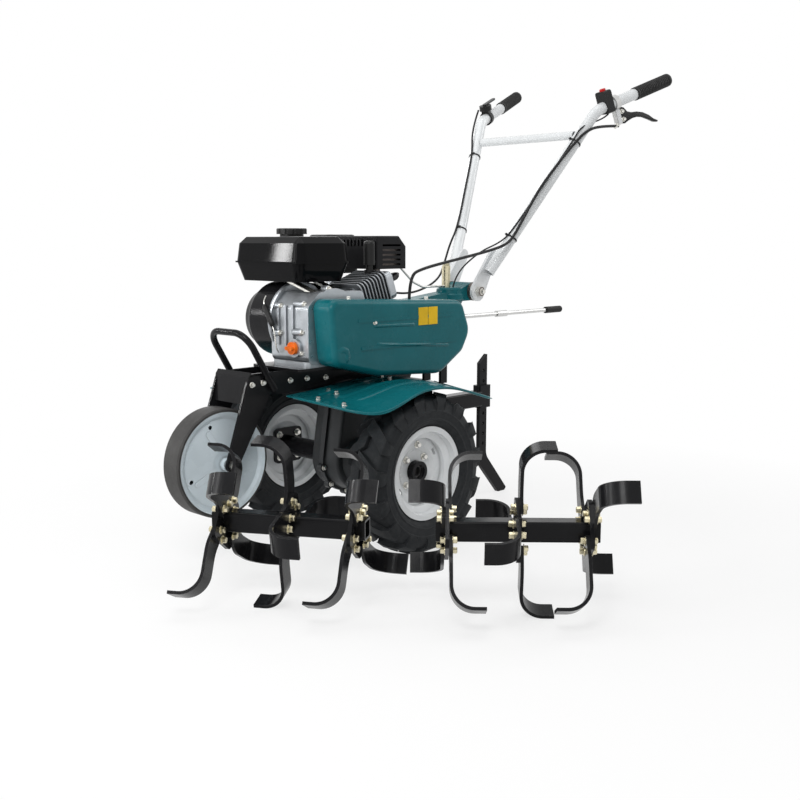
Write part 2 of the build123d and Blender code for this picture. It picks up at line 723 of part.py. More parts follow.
# Air cleaner beside the muffler, over the carburettor
with BuildPart() as air_cleaner:
    with BuildSketch(Plane.XY.offset(GUARD_BASE - 14)):
        with Locations((GUARD_X + 14, GUARD_Y - GUARD_WIDTH / 2 - 62)):
            RectangleRounded(112, 104, 24)
    extrude(amount=GUARD_TOP - GUARD_BASE + 18, taper=3)
    fillet(air_cleaner.edges().group_by(Axis.Z)[-1], 10)
    offset(amount=-GUARD_SHEET, mode=Mode.SUBTRACT)
keep(air_cleaner, "air_cleaner")

head_mid = crank + bore_line * (head_start + 15)
intake_x, intake_z = head_mid.X, head_mid.Z
head_right = CYLINDER_Y - HEAD_WIDTH / 2
with BuildPart() as carburettor:
    with BuildSketch(Plane.XY.offset(GUARD_BASE - 14)):
        with Locations((intake_x, GUARD_Y - GUARD_WIDTH / 2 - 44)):
            Circle(19)
    extrude(amount=-66)
    with BuildSketch(Plane(origin=(intake_x, head_right, intake_z), x_dir=(1, 0, 0), z_dir=(0, -1, 0))):
        Circle(14)
    extrude(amount=head_right - GUARD_Y + GUARD_WIDTH / 2 + 44)
keep(carburettor, "carburettor")

# Fuel tank: tapered lower half, seam flange and bevelled upper half, hollow
with BuildPart() as fuel_tank:
    with BuildSketch(Plane.XY.offset(TANK_BASE)):
        with Locations((TANK_X, TANK_Y)):
            RectangleRounded(TANK_LENGTH - 34, TANK_WIDTH - 34, 20)
    with BuildSketch(Plane.XY.offset(TANK_SEAM)):
        with Locations((TANK_X, TANK_Y)):
            RectangleRounded(TANK_LENGTH - 6, TANK_WIDTH - 6, 26)
    loft()
    with BuildSketch(Plane.XY.offset(TANK_SEAM)):
        with Locations((TANK_X, TANK_Y)):
            RectangleRounded(TANK_LENGTH - 6, TANK_WIDTH - 6, 26)
    extrude(amount=TANK_TOP - TANK_SEAM, taper=8)
    chamfer(fuel_tank.edges().group_by(Axis.Z)[-1], TANK_BEVEL)
    fillet(fuel_tank.edges().group_by(Axis.Z)[-1], 6)
    offset(amount=-TANK_SHEET, mode=Mode.SUBTRACT)
    with BuildSketch(Plane.XY.offset(TANK_SEAM - 2)):
        with Locations((TANK_X, TANK_Y)):
            RectangleRounded(TANK_LENGTH + 2, TANK_WIDTH + 2, 29)
            RectangleRounded(TANK_LENGTH - 8, TANK_WIDTH - 8, 25, mode=Mode.SUBTRACT)
    extrude(amount=4)
keep(fuel_tank, "fuel_tank")

with BuildPart() as fuel_cap:
    with BuildSketch(Plane.XY.offset(TANK_TOP)):
        with Locations((TANK_X + 6, TANK_Y + 8)):
            Circle(CAP_R - 8)
    extrude(amount=6)
    with BuildSketch(Plane.XY.offset(TANK_TOP + 6)):
        with Locations((TANK_X + 6, TANK_Y + 8)):
            Circle(CAP_R)
            with PolarLocations(CAP_R + 1, 12):
                Circle(4, mode=Mode.SUBTRACT)
    extrude(amount=CAP_TOP - TANK_TOP - 6)
    fillet(fuel_cap.edges().group_by(Axis.Z)[-1], 3)
keep(fuel_cap, "fuel_cap")

# Two slanting straps that hold the tank over the crankcase
with BuildPart() as tank_brackets:
    for strap_x in (TANK_X - 30, TANK_X + 46):
        with BuildSketch(Plane(origin=(strap_x - 12, 0, 0), x_dir=(0, 1, 0), z_dir=(1, 0, 0))):
            with BuildLine():
                Polyline((64, CASE_TOP), (82, CASE_TOP), (11, TANK_BASE), (-7, TANK_BASE), close=True)
            make_face()
        extrude(amount=24)
keep(tank_brackets, "tank_brackets")

# Oil filler plug on the crankcase front
with BuildPart() as oil_plug:
    with BuildSketch(Plane(origin=(CASE_FRONT + 8, 0, 0), x_dir=(0, 1, 0), z_dir=(1, 0, 0))):
        with Locations((CASE_LEFT - 44, BED_TOP + 46)):
            Circle(15)
    extrude(amount=8)
    with BuildSketch(Plane(origin=(CASE_FRONT + 16, 0, 0), x_dir=(0, 1, 0), z_dir=(1, 0, 0))):
        with Locations((CASE_LEFT - 44, BED_TOP + 46)):
            SlotOverall(26, 9)
    extrude(amount=9)
keep(oil_plug, "oil_plug")

# Belt cover: pressed sheet box, open towards the machine
cover_outline = ((208, 620), (-258, 601), (-292, 520), (-262, 468), (-176, 416), (46, 430), (192, 466))
cover_radii = [24, 34, 46, 40, 60, 120, 28]
with BuildPart() as belt_cover:
    with BuildSketch(side_plane(COVER_INNER)):
        with BuildLine():
            FilletPolyline(*profile(*cover_outline), radius=cover_radii, close=True)
        make_face()
    extrude(amount=COVER_OUTER - COVER_INNER)
    fillet(belt_cover.edges().group_by(Axis.Y)[-1], COVER_EDGE)
    offset(amount=-COVER_SHEET, openings=belt_cover.faces().sort_by(Axis.Y)[0])
    with BuildSketch(side_plane(COVER_OUTER)):
        with Locations(profile((-50, 566), (-60, 500))):
            SlotOverall(340, 8)
    extrude(amount=1.5)
keep(belt_cover, "belt_cover")

with BuildPart() as belt_cover_back:
    with BuildSketch(side_plane(CASE_LEFT)):
        with BuildLine():
            FilletPolyline(*profile(*cover_outline), radius=cover_radii, close=True)
        make_face()
    extrude(amount=COVER_SHEET)
keep(belt_cover_back, "belt_cover_back")

bracket_x = (150.0, -30.0)
# Fenders: wavy pressed sheet over each tyre
for name, side in SIDES.items():
    with BuildPart() as fender:
        for y, wave in (
            (
                FENDER_INNER - FENDER_TRIM,
                (
                    (FENDER_FRONT + FENDER_TRIM, 394),
                    (bracket_x[0], 402),
                    (bracket_x[1], 413),
                    (-140, 403),
                    (FENDER_REAR - FENDER_TRIM, 384),
                ),
            ),
            (
                FENDER_OUTER + FENDER_TRIM,
                (
                    (FENDER_FRONT + FENDER_TRIM, 386),
                    (bracket_x[0], 371),
                    (90, 389),
                    (45, 404),
                    (0, 409),
                    (-55, 406),
                    (-130, 388),
                    (FENDER_REAR - FENDER_TRIM, 354),
                ),
            ),
        ):
            with BuildSketch(side_plane(side * y)):
                with BuildLine():
                    top = Spline(*profile(*wave))
                    low = Spline(*profile(*[(x, z - FENDER_SHEET) for x, z in wave]))
                    Line(top @ 0, low @ 0)
                    Line(top @ 1, low @ 1)
                make_face()
        loft()
        with BuildSketch():
            with BuildLine():
                FilletPolyline(
                    (FENDER_FRONT, side * FENDER_INNER),
                    (FENDER_FRONT, side * FENDER_OUTER),
                    (FENDER_REAR, side * FENDER_OUTER),
                    (FENDER_REAR, side * FENDER_INNER),
                    radius=FENDER_CORNERS,
                    close=True,
                )
            make_face()
        extrude(amount=CASE_TOP, mode=Mode.INTERSECT)
    keep(fender, f"{name}_fender")

# Sloping bars that carry the fenders from the side rails


def below(piece, x, y):
    """Underside of a piece above a floor point, the lowest over a bar's width."""
    line = [Axis((x + dx, y, 0), (0, 0, 1)) for dx in (-15, 0, 15)]
    return min(p.Z for axis in line for p, _ in piece.find_intersection_points(axis))


bracket_reach = 140.0
with BuildPart() as fender_brackets:
    for name, side in SIDES.items():
        for bar_x in bracket_x:
            tops = [
                (side * y, below(finished[f"{name}_fender"], bar_x, side * y) - 2 * SEAT)
                for y in (FENDER_INNER + 1, (FENDER_INNER + bracket_reach) / 2, bracket_reach)
            ]
            with BuildSketch(Plane(origin=(bar_x - 15, 0, 0), x_dir=(0, 1, 0), z_dir=(1, 0, 0))):
                with BuildLine():
                    Polyline(
                        (side * RAIL_OUTER, tops[0][1]),
                        *tops,
                        (tops[2][0], tops[2][1] - 5),
                        (side * RAIL_OUTER, tops[0][1] - 14),
                        close=True,
                    )
                make_face()
            extrude(amount=30)
keep(fender_brackets, "fender_brackets")

# Stays that hold the belt cover up over the left fender
stay_y = COVER_INNER + 12
with BuildPart() as cover_stays:
    for stay_x in (-168.0, -232.0):
        fender_top = max(
            p.Z
            for dx in (-12, 0, 12)
            for p, _ in finished["left_fender"].find_intersection_points(Axis((stay_x + dx, stay_y, 0), (0, 0, 1)))
        )
        cover_low = below(belt_cover.part, stay_x, stay_y)
        with BuildSketch(Plane.XY.offset(fender_top + SEAT)):
            with Locations((stay_x, stay_y)):
                Rectangle(24, 8)
        extrude(amount=cover_low - fender_top - 3 * SEAT)
keep(cover_stays, "cover_stays")

# Handlebar base: neck, turntable and pivot lug in one casting on the gearbox
disc_inner = EAR_INNER - 12
with BuildPart() as handlebar_base:
    with BuildSketch(side_plane(0)):
        with Locations(profile((TURNTABLE_X, TURNTABLE_TOP - TURNTABLE_HEIGHT / 2))):
            Circle(22)
        with Locations(profile((INPUT_X - 40, INPUT_Z + 72), (INPUT_X - 84, INPUT_Z + 40))):
            Circle(18)
        make_hull()
        with Locations(profile((INPUT_X, INPUT_Z))):
            Circle(GEARBOX_INPUT_R + SPLIT_LIP + SEAT, mode=Mode.SUBTRACT)
    extrude(amount=NECK_HALF, both=True)
    turn_axis = Axis((TURNTABLE_X, 0, 0), (0, 0, 1))
    with BuildSketch(Plane(origin=(TURNTABLE_X, 0, TURNTABLE_TOP), x_dir=(1, 0, 0), z_dir=(0, -1, 0))):
        with BuildLine():
            Polyline(
                (0, 0),
                (TURNTABLE_R - 10, 0),
                (TURNTABLE_R - 6, -5),
                (TURNTABLE_R - 4, -16),
                (TURNTABLE_R, -20),
                (TURNTABLE_R, -33),
                (TURNTABLE_R - 6, -37),
                (TURNTABLE_R - 18, -TURNTABLE_HEIGHT),
                (0, -TURNTABLE_HEIGHT),
                close=True,
            )
        make_face()
    revolve(axis=turn_axis)
    with BuildSketch(side_plane(0)):
        with Locations(profile((PIVOT_X, PIVOT_Z))):
            Circle(EAR_R - 2)
        with Locations(profile((TURNTABLE_X, PIVOT_Z - 10))):
            Circle(16)
        make_hull()
    extrude(amount=disc_inner, both=True)
    with BuildSketch(side_plane(0)):
        with Locations(profile((PIVOT_X, PIVOT_Z))):
            Circle(PIVOT_BOLT_R + RUN_FIT)
    extrude(amount=EAR_INNER, both=True, mode=Mode.SUBTRACT)
keep(handlebar_base, "handlebar_base")

# Toothed discs that lock the tilt, one under each ear
with BuildPart() as pivot_discs:
    for side in SIDES.values():
        with BuildSketch(facing(PIVOT_X, side * disc_inner, PIVOT_Z, side)):
            Circle(EAR_R - 1)
            with PolarLocations(EAR_R - 0.5, 24):
                Circle(1.6, mode=Mode.SUBTRACT)
            Circle(PIVOT_BOLT_R + RUN_FIT, mode=Mode.SUBTRACT)
        extrude(amount=EAR_INNER - SEAT - disc_inner)
keep(pivot_discs, "pivot_discs")

# Plated lock sleeve standing on the turntable
with BuildPart() as lock_sleeve:
    with BuildSketch(Plane.XY.offset(TURNTABLE_TOP + SEAT)):
        with Locations((TURNTABLE_X - 4, -18)):
            Circle(12)
    extrude(amount=58)
    with BuildSketch(Plane.XY.offset(TURNTABLE_TOP + SEAT + 58)):
        with Locations((TURNTABLE_X - 4, -18)):
            RegularPolygon(10, 6)
    extrude(amount=8)
keep(lock_sleeve, "lock_sleeve")

# Hitch tube behind the gearbox and the socket of the depth bar
socket_half = STAKE_WIDTH / 2 + BAR_FIT + SOCKET_WALL
socket_side = STAKE_THICK / 2 + BAR_FIT + SOCKET_WALL
hitch_rear = STAKE_X + socket_half - 1
hitch_front = -172.0
# The flat rear wall of the gearbox is the common tangent of its two rounds
run_x, run_z = INPUT_X, INPUT_Z - AXLE_Z
run = (run_x**2 + run_z**2) ** 0.5
lean = (GEARBOX_AXLE_R - GEARBOX_INPUT_R) / run
flat = (1 - lean**2) ** 0.5
wall = Vector((run_x * lean - run_z * flat) / run, 0, (run_z * lean + run_x * flat) / run)
wall_up = Vector(-wall.Z, 0, wall.X) * -1
wall_at = Vector(0, 0, AXLE_Z) + wall * (GEARBOX_AXLE_R + SPLIT_LIP)
flange_mid = wall_at + wall_up * ((HITCH_Z + 12 - wall_at.Z) / wall_up.Z)
with BuildPart() as rear_hitch:
    with BuildSketch(Plane(origin=flange_mid, x_dir=(0, 1, 0), z_dir=wall)):
        RectangleRounded(84, 104, 10)
    extrude(amount=10)
    with BuildSketch(Plane(origin=(hitch_rear, 0, HITCH_Z), x_dir=(0, 1, 0), z_dir=(1, 0, 0))):
        RectangleRounded(HITCH_TUBE, HITCH_TUBE, 6)
        RectangleRounded(HITCH_TUBE - 2 * HITCH_WALL, HITCH_TUBE - 2 * HITCH_WALL, 3, mode=Mode.SUBTRACT)
    extrude(amount=hitch_front - hitch_rear)
    with BuildSketch(Plane.XY.offset(SOCKET_BASE)):
        with Locations((STAKE_X, 0)):
            RectangleRounded(2 * socket_half, 2 * socket_side, 4)
            Rectangle(STAKE_WIDTH + 2 * BAR_FIT, STAKE_THICK + 2 * BAR_FIT, mode=Mode.SUBTRACT)
    extrude(amount=SOCKET_TOP - SOCKET_BASE)
keep(rear_hitch, "rear_hitch")

# Depth bar: holed flat bar, its foot kicked back to the floor
with BuildPart() as depth_stake:
    near, far = STAKE_X + STAKE_WIDTH / 2, STAKE_X - STAKE_WIDTH / 2
    with BuildSketch(side_plane(0)):
        with BuildLine():
            FilletPolyline(
                *profile(
                    (near, STAKE_TOP - 26),
                    (far, STAKE_TOP),
                    (far, STAKE_KINK + 10),
                    (far + STAKE_FOOT - 14, 8),
                    (far + STAKE_FOOT - 6, 0),
                    (far + STAKE_FOOT + 24, 0),
                    (near, STAKE_KINK - 10),
                ),
                radius=[1, 1, 40, 3, 3, 3, 70],
                close=True,
            )
        make_face()
        with Locations(profile(*[(STAKE_X, z) for z in (376, 346, 250, 220, 190, 160)])):
            Circle(5, mode=Mode.SUBTRACT)
    extrude(amount=STAKE_THICK / 2, both=True)
keep(depth_stake, "depth_stake")

# Gear lever rod with its sleeve and grip
with BuildPart() as gear_lever:
    rod_start = shift_boss_rear
    with BuildSketch(Plane(origin=(rod_start, LEVER_Y, LEVER_Z), x_dir=(0, 1, 0), z_dir=(-1, 0, 0))):
        Circle(LEVER_R)
    extrude(amount=rod_start - LEVER_END)
    with BuildSketch(Plane(origin=(-560, LEVER_Y, LEVER_Z), x_dir=(0, 1, 0), z_dir=(-1, 0, 0))):
        Circle(LEVER_R + 3)
    extrude(amount=46)
keep(gear_lever, "gear_lever")

with BuildPart() as gear_lever_grip:
    grip_start = LEVER_END + LEVER_GRIP_LENGTH - 8
    with BuildSketch(Plane(origin=(grip_start, LEVER_Y, LEVER_Z), x_dir=(0, 1, 0), z_dir=(-1, 0, 0))):
        Circle(LEVER_GRIP_R)
    extrude(amount=LEVER_GRIP_LENGTH)
    fillet(gear_lever_grip.edges(), 4)
    with BuildSketch(Plane(origin=(grip_start, LEVER_Y, LEVER_Z), x_dir=(0, 1, 0), z_dir=(-1, 0, 0))):
        Circle(LEVER_R + RUN_FIT)
    extrude(amount=grip_start - LEVER_END, mode=Mode.SUBTRACT)
keep(gear_lever_grip, "gear_lever_grip")

# Handlebar: ears, splayed arms with a bend, crossbar
ear_mid = EAR_INNER + EAR_THICK / 2
arm_root = (PIVOT_X - 34, ear_mid + 12, PIVOT_Z + 52)
arm_bend = (-784, 212, 1118)
arm_end = (-1046, 280, 1222)
cross_y = 190.0
for name, side in SIDES.items():
    with BuildPart() as arm:
        with BuildLine() as run:
            FilletPolyline(
                *[(x, side * y, z) for x, y, z in (arm_root, arm_bend, arm_end)], radius=ARM_BEND_R
            )
        with BuildSketch(Plane(origin=run.line @ 0, z_dir=run.line % 0)):
            Circle(BAR_R)
            Circle(BAR_R - BAR_WALL, mode=Mode.SUBTRACT)
        sweep()
        with BuildSketch(side_plane(side * ear_mid)):
            with Locations(profile((PIVOT_X, PIVOT_Z))):
                Circle(EAR_R)
            with Locations(profile((PIVOT_X - 66, PIVOT_Z + 100))):
                Circle(BAR_R)
            make_hull()
            with Locations(profile((PIVOT_X, PIVOT_Z))):
                Circle(PIVOT_BOLT_R + RUN_FIT, mode=Mode.SUBTRACT)
        extrude(amount=EAR_THICK / 2, both=True)
    keep(arm, f"{name}_handlebar_arm")

    grip_dir = (run.line % 1).normalized()
    with BuildPart() as grip:
        with BuildSketch(Plane(origin=run.line @ 1 - grip_dir * (GRIP_LENGTH - 6), z_dir=grip_dir)):
            Circle(GRIP_R)
        extrude(amount=GRIP_LENGTH)
        fillet(grip.edges(), 3)
        with BuildSketch(Plane(origin=run.line @ 1 - grip_dir * (GRIP_LENGTH - 6), z_dir=grip_dir)):
            Circle(BAR_R + RUN_FIT)
        extrude(amount=GRIP_LENGTH - 6, mode=Mode.SUBTRACT)
    keep(grip, f"{name}_grip")

arm_way = (Vector(*arm_bend) - Vector(*arm_root)).normalized()
cross_at = Vector(*arm_root) + arm_way * ((cross_y - arm_root[1]) / arm_way.Y)
cross_half = cross_y - BAR_R - 4.5
with BuildPart() as handlebar_crossbar:
    with BuildSketch(Plane(origin=(cross_at.X, 0, cross_at.Z), x_dir=(1, 0, 0), z_dir=(0, 1, 0))):
        Circle(12)
        Circle(12 - BAR_WALL, mode=Mode.SUBTRACT)
    extrude(amount=cross_half, both=True)
keep(handlebar_crossbar, "handlebar_crossbar")

# Hand controls on the straight ends of the arms
hand_way = (Vector(*arm_end) - Vector(*arm_bend)).normalized()
hand_down = (Vector(0, 0, -1) + hand_way * hand_way.Z).normalized()


def mirrored(vector, side):
    """A left-hand vector, turned over to the right for side -1."""
    return Vector(vector.X, side * vector.Y, vector.Z)


def hand_point(distance, side):
    """Point on a grip tube's centre line, a distance behind the bend."""
    return mirrored(Vector(*arm_bend) + hand_way * distance, side)


def hand_section(distance, side):
    """Plane square to a grip tube, its X pointing down."""
    return Plane(origin=hand_point(distance, side), x_dir=mirrored(hand_down, side), z_dir=mirrored(hand_way, side))


switch_at, clutch_at, throttle_at = 40.0, 70.0, 44.0
mount_half = 8.0
with BuildPart() as clutch_lever_mount:
    with BuildSketch(hand_section(clutch_at, 1)):
        Circle(BAR_R + 6)
        with Locations((34, 0)):
            RectangleRounded(60, 16, 5)
        Circle(BAR_R + RUN_FIT, mode=Mode.SUBTRACT)
    extrude(amount=mount_half, both=True)
keep(clutch_lever_mount, "clutch_lever_mount")

with BuildPart() as clutch_lever:
    with BuildSketch(
        Plane(origin=hand_point(clutch_at, 1), x_dir=hand_way, z_dir=hand_way.cross(hand_down))
    ):
        with BuildLine():
            ThreePointArc((mount_half + SEAT, 36), (90, 47), (146, 96))
            Line((146, 96), (137, 106))
            ThreePointArc((137, 106), (86, 61), (mount_half + SEAT, 52))
            Line((mount_half + SEAT, 52), (mount_half + SEAT, 36))
        make_face()
    extrude(amount=5, both=True)
    fillet(clutch_lever.edges().filter_by(GeomType.CIRCLE), 2)
keep(clutch_lever, "clutch_lever")

with BuildPart() as kill_switch:
    with BuildSketch(hand_section(switch_at, 1)):
        with Locations((-12, 0)):
            RectangleRounded(64, 2 * BAR_R + 8, 7)
        Circle(BAR_R + RUN_FIT, mode=Mode.SUBTRACT)
    extrude(amount=13, both=True)
    with BuildSketch(Plane(origin=hand_point(switch_at, 1) - hand_down * 44, z_dir=-hand_down)):
        Circle(8)
    extrude(amount=6)
keep(kill_switch, "kill_switch")

with BuildPart() as throttle_control:
    with BuildSketch(hand_section(throttle_at, -1)):
        Circle(BAR_R + 5)
        with Locations((-BAR_R - 4, 0)):
            RectangleRounded(14, 24, 4)
        Circle(BAR_R + RUN_FIT, mode=Mode.SUBTRACT)
    extrude(amount=8, both=True)
    drum_base = hand_point(throttle_at, -1) - mirrored(hand_down, -1) * (BAR_R + 9)
    with BuildSketch(Plane(origin=drum_base, x_dir=mirrored(hand_way, -1), z_dir=-mirrored(hand_down, -1))):
        Circle(19)
    extrude(amount=15)
    with BuildSketch(
        Plane(origin=drum_base, x_dir=mirrored(hand_way, -1), z_dir=-mirrored(hand_down, -1)).offset(15)
    ):
        with Locations((30, 0)):
            SlotOverall(82, 12)
    extrude(amount=5)
keep(throttle_control, "throttle_control")

# Cables: held along the arms down to their last tie, then over to the engine and the base
outward = (Vector(0, 1, 0) - arm_way * arm_way.Y).normalized()
rearward = (Vector(-1, 0, 0) + arm_way * arm_way.X).normalized()
askew = (rearward - outward).normalized()
arm_length = (Vector(*arm_bend) - Vector(*arm_root)).length
tie_high, tie_low, tie_below = 0.8, 0.2, 0.165


def beside_arm(part_way, offset_way, distance, side):
    """Point beside an arm, a distance from its centre line."""
    return mirrored(Vector(*arm_root) + arm_way * (arm_length * part_way) + offset_way * distance, side)


beside_clutch = BAR_R + CLUTCH_CABLE_R + SEAT
beside_throttle = BAR_R + THROTTLE_CABLE_R + SEAT
beside_wire = BAR_R + SWITCH_WIRE_R + SEAT
upper_runs = (
    (
        (
            hand_point(clutch_at, 1) + hand_down * (64 + CLUTCH_CABLE_R + SEAT),
            beside_arm(tie_high, outward, beside_clutch, 1),
            beside_arm(tie_low, outward, beside_clutch, 1),
        ),
        60,
        CLUTCH_CABLE_R,
    ),
    (
        (
            hand_point(throttle_at, -1) + Vector(16, -26, 30),
            beside_arm(tie_high, outward, beside_throttle, -1),
            beside_arm(tie_low, outward, beside_throttle, -1),
        ),
        60,
        THROTTLE_CABLE_R,
    ),
    (
        (
            hand_point(switch_at, 1) + hand_down * (20 + SWITCH_WIRE_R + SEAT),
            beside_arm(tie_high, rearward, beside_wire, 1),
            beside_arm((tie_high + tie_low) / 2, askew, 1.3 * beside_wire, 1),
            beside_arm(tie_low, outward, -beside_wire, 1),
        ),
        40,
        SWITCH_WIRE_R,
    ),
)
with BuildPart() as upper_cables:
    for points, bends, radius in upper_runs:
        with BuildLine() as way:
            FilletPolyline(*points, radius=bends)
        with BuildSketch(Plane(origin=way.line @ 0, z_dir=way.line % 0)):
            Circle(radius)
        sweep()
keep(upper_cables, "upper_cables")

loose = 5.0  # room that the lower cables keep from the moving arms
lower_runs = (
    (
        (
            beside_arm(tie_below, outward, beside_clutch + loose, 1),
            (-450, 104, 730),
            (-300, 94, 700),
            (-190, clutch_arm_y, 682),
            (clutch_arm_x, clutch_arm_y, 660),
            (clutch_arm_x, clutch_arm_y, clutch_arm_top + SEAT),
        ),
        (150, 200, 70, 30),
        CLUTCH_CABLE_R,
    ),
    (
        (
            beside_arm(tie_below, outward, beside_throttle + loose, -1),
            (-490, -100, 690),
            (-440, -78, 640),
            (-330, -70, 606),
            (-230, -74, 612),
            (-130, -104, 640),
            (intake_x - 20, GUARD_Y - GUARD_WIDTH / 2 - 44, 642),
        ),
        (60, 60, 120, 150, 60),
        THROTTLE_CABLE_R,
    ),
    (
        (
            beside_arm(tie_below, outward, -beside_wire - loose, 1),
            (-480, 40, 722),
            (TURNTABLE_X - 8, 16, 664),
            (TURNTABLE_X, 12, TURNTABLE_TOP + 3 * SEAT),
        ),
        (50, 20),
        SWITCH_WIRE_R,
    ),
)
with BuildPart() as lower_cables:
    for points, bends, radius in lower_runs:
        with BuildLine() as way:
            FilletPolyline(*points, radius=bends)
        with BuildSketch(Plane(origin=way.line @ 0, z_dir=way.line % 0)):
            Circle(radius)
        sweep()
keep(lower_cables, "lower_cables")

# Bent rod from the base to the muffler guard
with BuildPart() as base_rod:
    with BuildLine() as way:
        FilletPolyline(
            (TURNTABLE_X + 12, -12, TURNTABLE_TOP + ROD_R + SEAT),
            (-300, -12, TURNTABLE_TOP + ROD_R + SEAT),
            (-262, -12, TURNTABLE_TOP + 18),
            (guard_rear - ROD_R, -12, GUARD_BASE + 46),
            radius=40,
        )
    with BuildSketch(Plane(origin=way.line @ 0, z_dir=way.line % 0)):
        Circle(ROD_R)
    sweep()
keep(base_rod, "base_rod")

# Pivot bolt through both ears and the base
with BuildPart() as pivot_bolt:
    with BuildSketch(side_plane(0)):
        with Locations(profile((PIVOT_X, PIVOT_Z))):
            Circle(PIVOT_BOLT_R)
    bolt_half = EAR_INNER + EAR_THICK
    extrude(amount=bolt_half + 10, both=True)
    for side in SIDES.values():
        with BuildSketch(
            Plane(origin=(PIVOT_X, side * (bolt_half + SEAT), PIVOT_Z), x_dir=(1, 0, 0), z_dir=(0, side, 0))
        ):
            RegularPolygon(15, 6)
        extrude(amount=12)
keep(pivot_bolt, "pivot_bolt")

# Tine rotors: square tube with three welded flanges, and curved tines bent left and right in turn


def flange_turn(row):
    """Degrees that a flange is turned on the tube."""
    return MIDDLE_TURN + END_TURN * abs(row - 1)


# One tine of each hand, standing up from the tube's centre line: flat bar that leans back, square bend, straight tip
lean = radians(TINE_LEAN)
bar_way = Vector(0, -sin(lean), cos(lean))
bar_side = Vector(0, cos(lean), sin(lean))
foot = ROTOR_TUBE * 0.74  # past the corners of the tube
half_width = TINE_WIDTH / 2
miter = half_width * tan(lean / 2)
bend_start = Vector(0, 0, TINE_ELBOW) + bar_way * (TINE_REACH - TINE_THICK / 2 - TINE_BEND_R)
tine = {}
for bend in (1, -1):
    bar_x = bend * TINE_THICK / 2
    hinge = bend_start + Vector(bar_x + bend * TINE_BEND_R, 0, 0)
    with BuildPart() as bar:
        with BuildSketch(Plane.YZ):
            with BuildLine():
                end_right, end_left = bend_start + bar_side * half_width, bend_start - bar_side * half_width
                FilletPolyline(
                    (half_width, foot),
                    (half_width, TINE_ELBOW + miter),
                    (end_right.Y, end_right.Z),
                    (end_left.Y, end_left.Z),
                    (-half_width, TINE_ELBOW - miter),
                    (-half_width, foot),
                    radius=(0.1, 60, 0.1, 0.1, 60, 0.1),
                    close=True,
                )
            make_face()
        extrude(amount=bend * TINE_THICK)
        with BuildSketch(Plane(origin=bend_start + Vector(bar_x, 0, 0), x_dir=bar_side, z_dir=bar_way)):
            Rectangle(TINE_WIDTH, TINE_THICK)
        revolve(axis=Axis(hinge, bar_side * bend), revolution_arc=90)
        with BuildSketch(Plane(origin=hinge + bar_way * TINE_BEND_R, x_dir=bar_side, z_dir=(bend, 0, 0))):
            Rectangle(TINE_WIDTH, TINE_THICK)
        extrude(amount=TINE_TIP)
    tine[bend] = bar.part
rotor_z = tine[1].moved(Rot(-MIDDLE_TURN, 0, 0)).bounding_box().max.Z

for name, (rotor_x, rotor_y, turn, upright_bends) in ROTORS.items():
    rotor = Plane(
        origin=(rotor_x, rotor_y, rotor_z),
        x_dir=(cos(radians(turn)), sin(radians(turn)), 0),
        z_dir=(0, 0, 1),
    )
    along, across, up = rotor.x_dir, rotor.y_dir, rotor.z_dir
    tube_half = FLANGE_SPACING + ROTOR_TUBE_OVERHANG
    stations = (-FLANGE_SPACING, 0, FLANGE_SPACING)

    with BuildPart() as rotor_frame:
        with BuildSketch(Plane(origin=rotor.origin - along * tube_half, x_dir=up, z_dir=along)):
            RectangleRounded(ROTOR_TUBE, ROTOR_TUBE, 5)
        extrude(amount=2 * tube_half)
        for row, station in enumerate(stations):
            with BuildSketch(
                Plane(origin=rotor.origin + along * (station - FLANGE_THICK / 2), x_dir=up, z_dir=along)
            ):
                with Locations(Rotation(0, 0, flange_turn(row))):
                    RectangleRounded(2 * FLANGE_R, 2 * FLANGE_R, 16)
            extrude(amount=FLANGE_THICK)
        with BuildSketch(Plane(origin=rotor.origin - along * tube_half, x_dir=up, z_dir=along)):
            bore = ROTOR_TUBE - 2 * ROTOR_TUBE_WALL
            RectangleRounded(bore, bore, 2)
        extrude(amount=2 * tube_half, mode=Mode.SUBTRACT)
        with BuildSketch(Plane(origin=rotor.origin, x_dir=along, z_dir=up)):
            with GridLocations(2 * tube_half - 22, 0, 2, 1):
                Circle(4)
        extrude(amount=ROTOR_TUBE, both=True, mode=Mode.SUBTRACT)
    keep(rotor_frame, f"{name}_rotor_frame")

    with BuildPart() as rotor_tines:
        for row, station in enumerate(stations):
            for i in range(TINES_PER_FLANGE):
                angle = 360 * i / TINES_PER_FLANGE + flange_turn(row)
                bend = -upright_bends[row] if i % 2 else upright_bends[row]
                add(tine[bend].moved(rotor.location * Pos(station + bend * FLANGE_THICK / 2) * Rot(-angle, 0, 0)))
    keep(rotor_tines, f"{name}_rotor_tines")

# Shift everything so that the origin is the middle of the footprint, then write one file a piece
boxes = [piece.bounding_box() for piece in finished.values()]
middle_x = (min(b.min.X for b in boxes) + max(b.max.X for b in boxes)) / 2
middle_y = (min(b.min.Y for b in boxes) + max(b.max.Y for b in boxes)) / 2
base = Location((-middle_x, -middle_y, -min(b.min.Z for b in boxes)))
print("axle in the shared frame", base.position)
for label, piece in finished.items():
    placed = piece.moved(base)
    placed.label = label
    export_step(placed, f"parts/{label}.step")
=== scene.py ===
from math import cos, pi, radians, sin

import bmesh
import bpy
from bpy.props import FloatProperty, FloatVectorProperty, IntProperty, PointerProperty
from bpy.types import Operator, Panel, PropertyGroup
from mathutils import Matrix, Vector
from mathutils.bvhtree import BVHTree


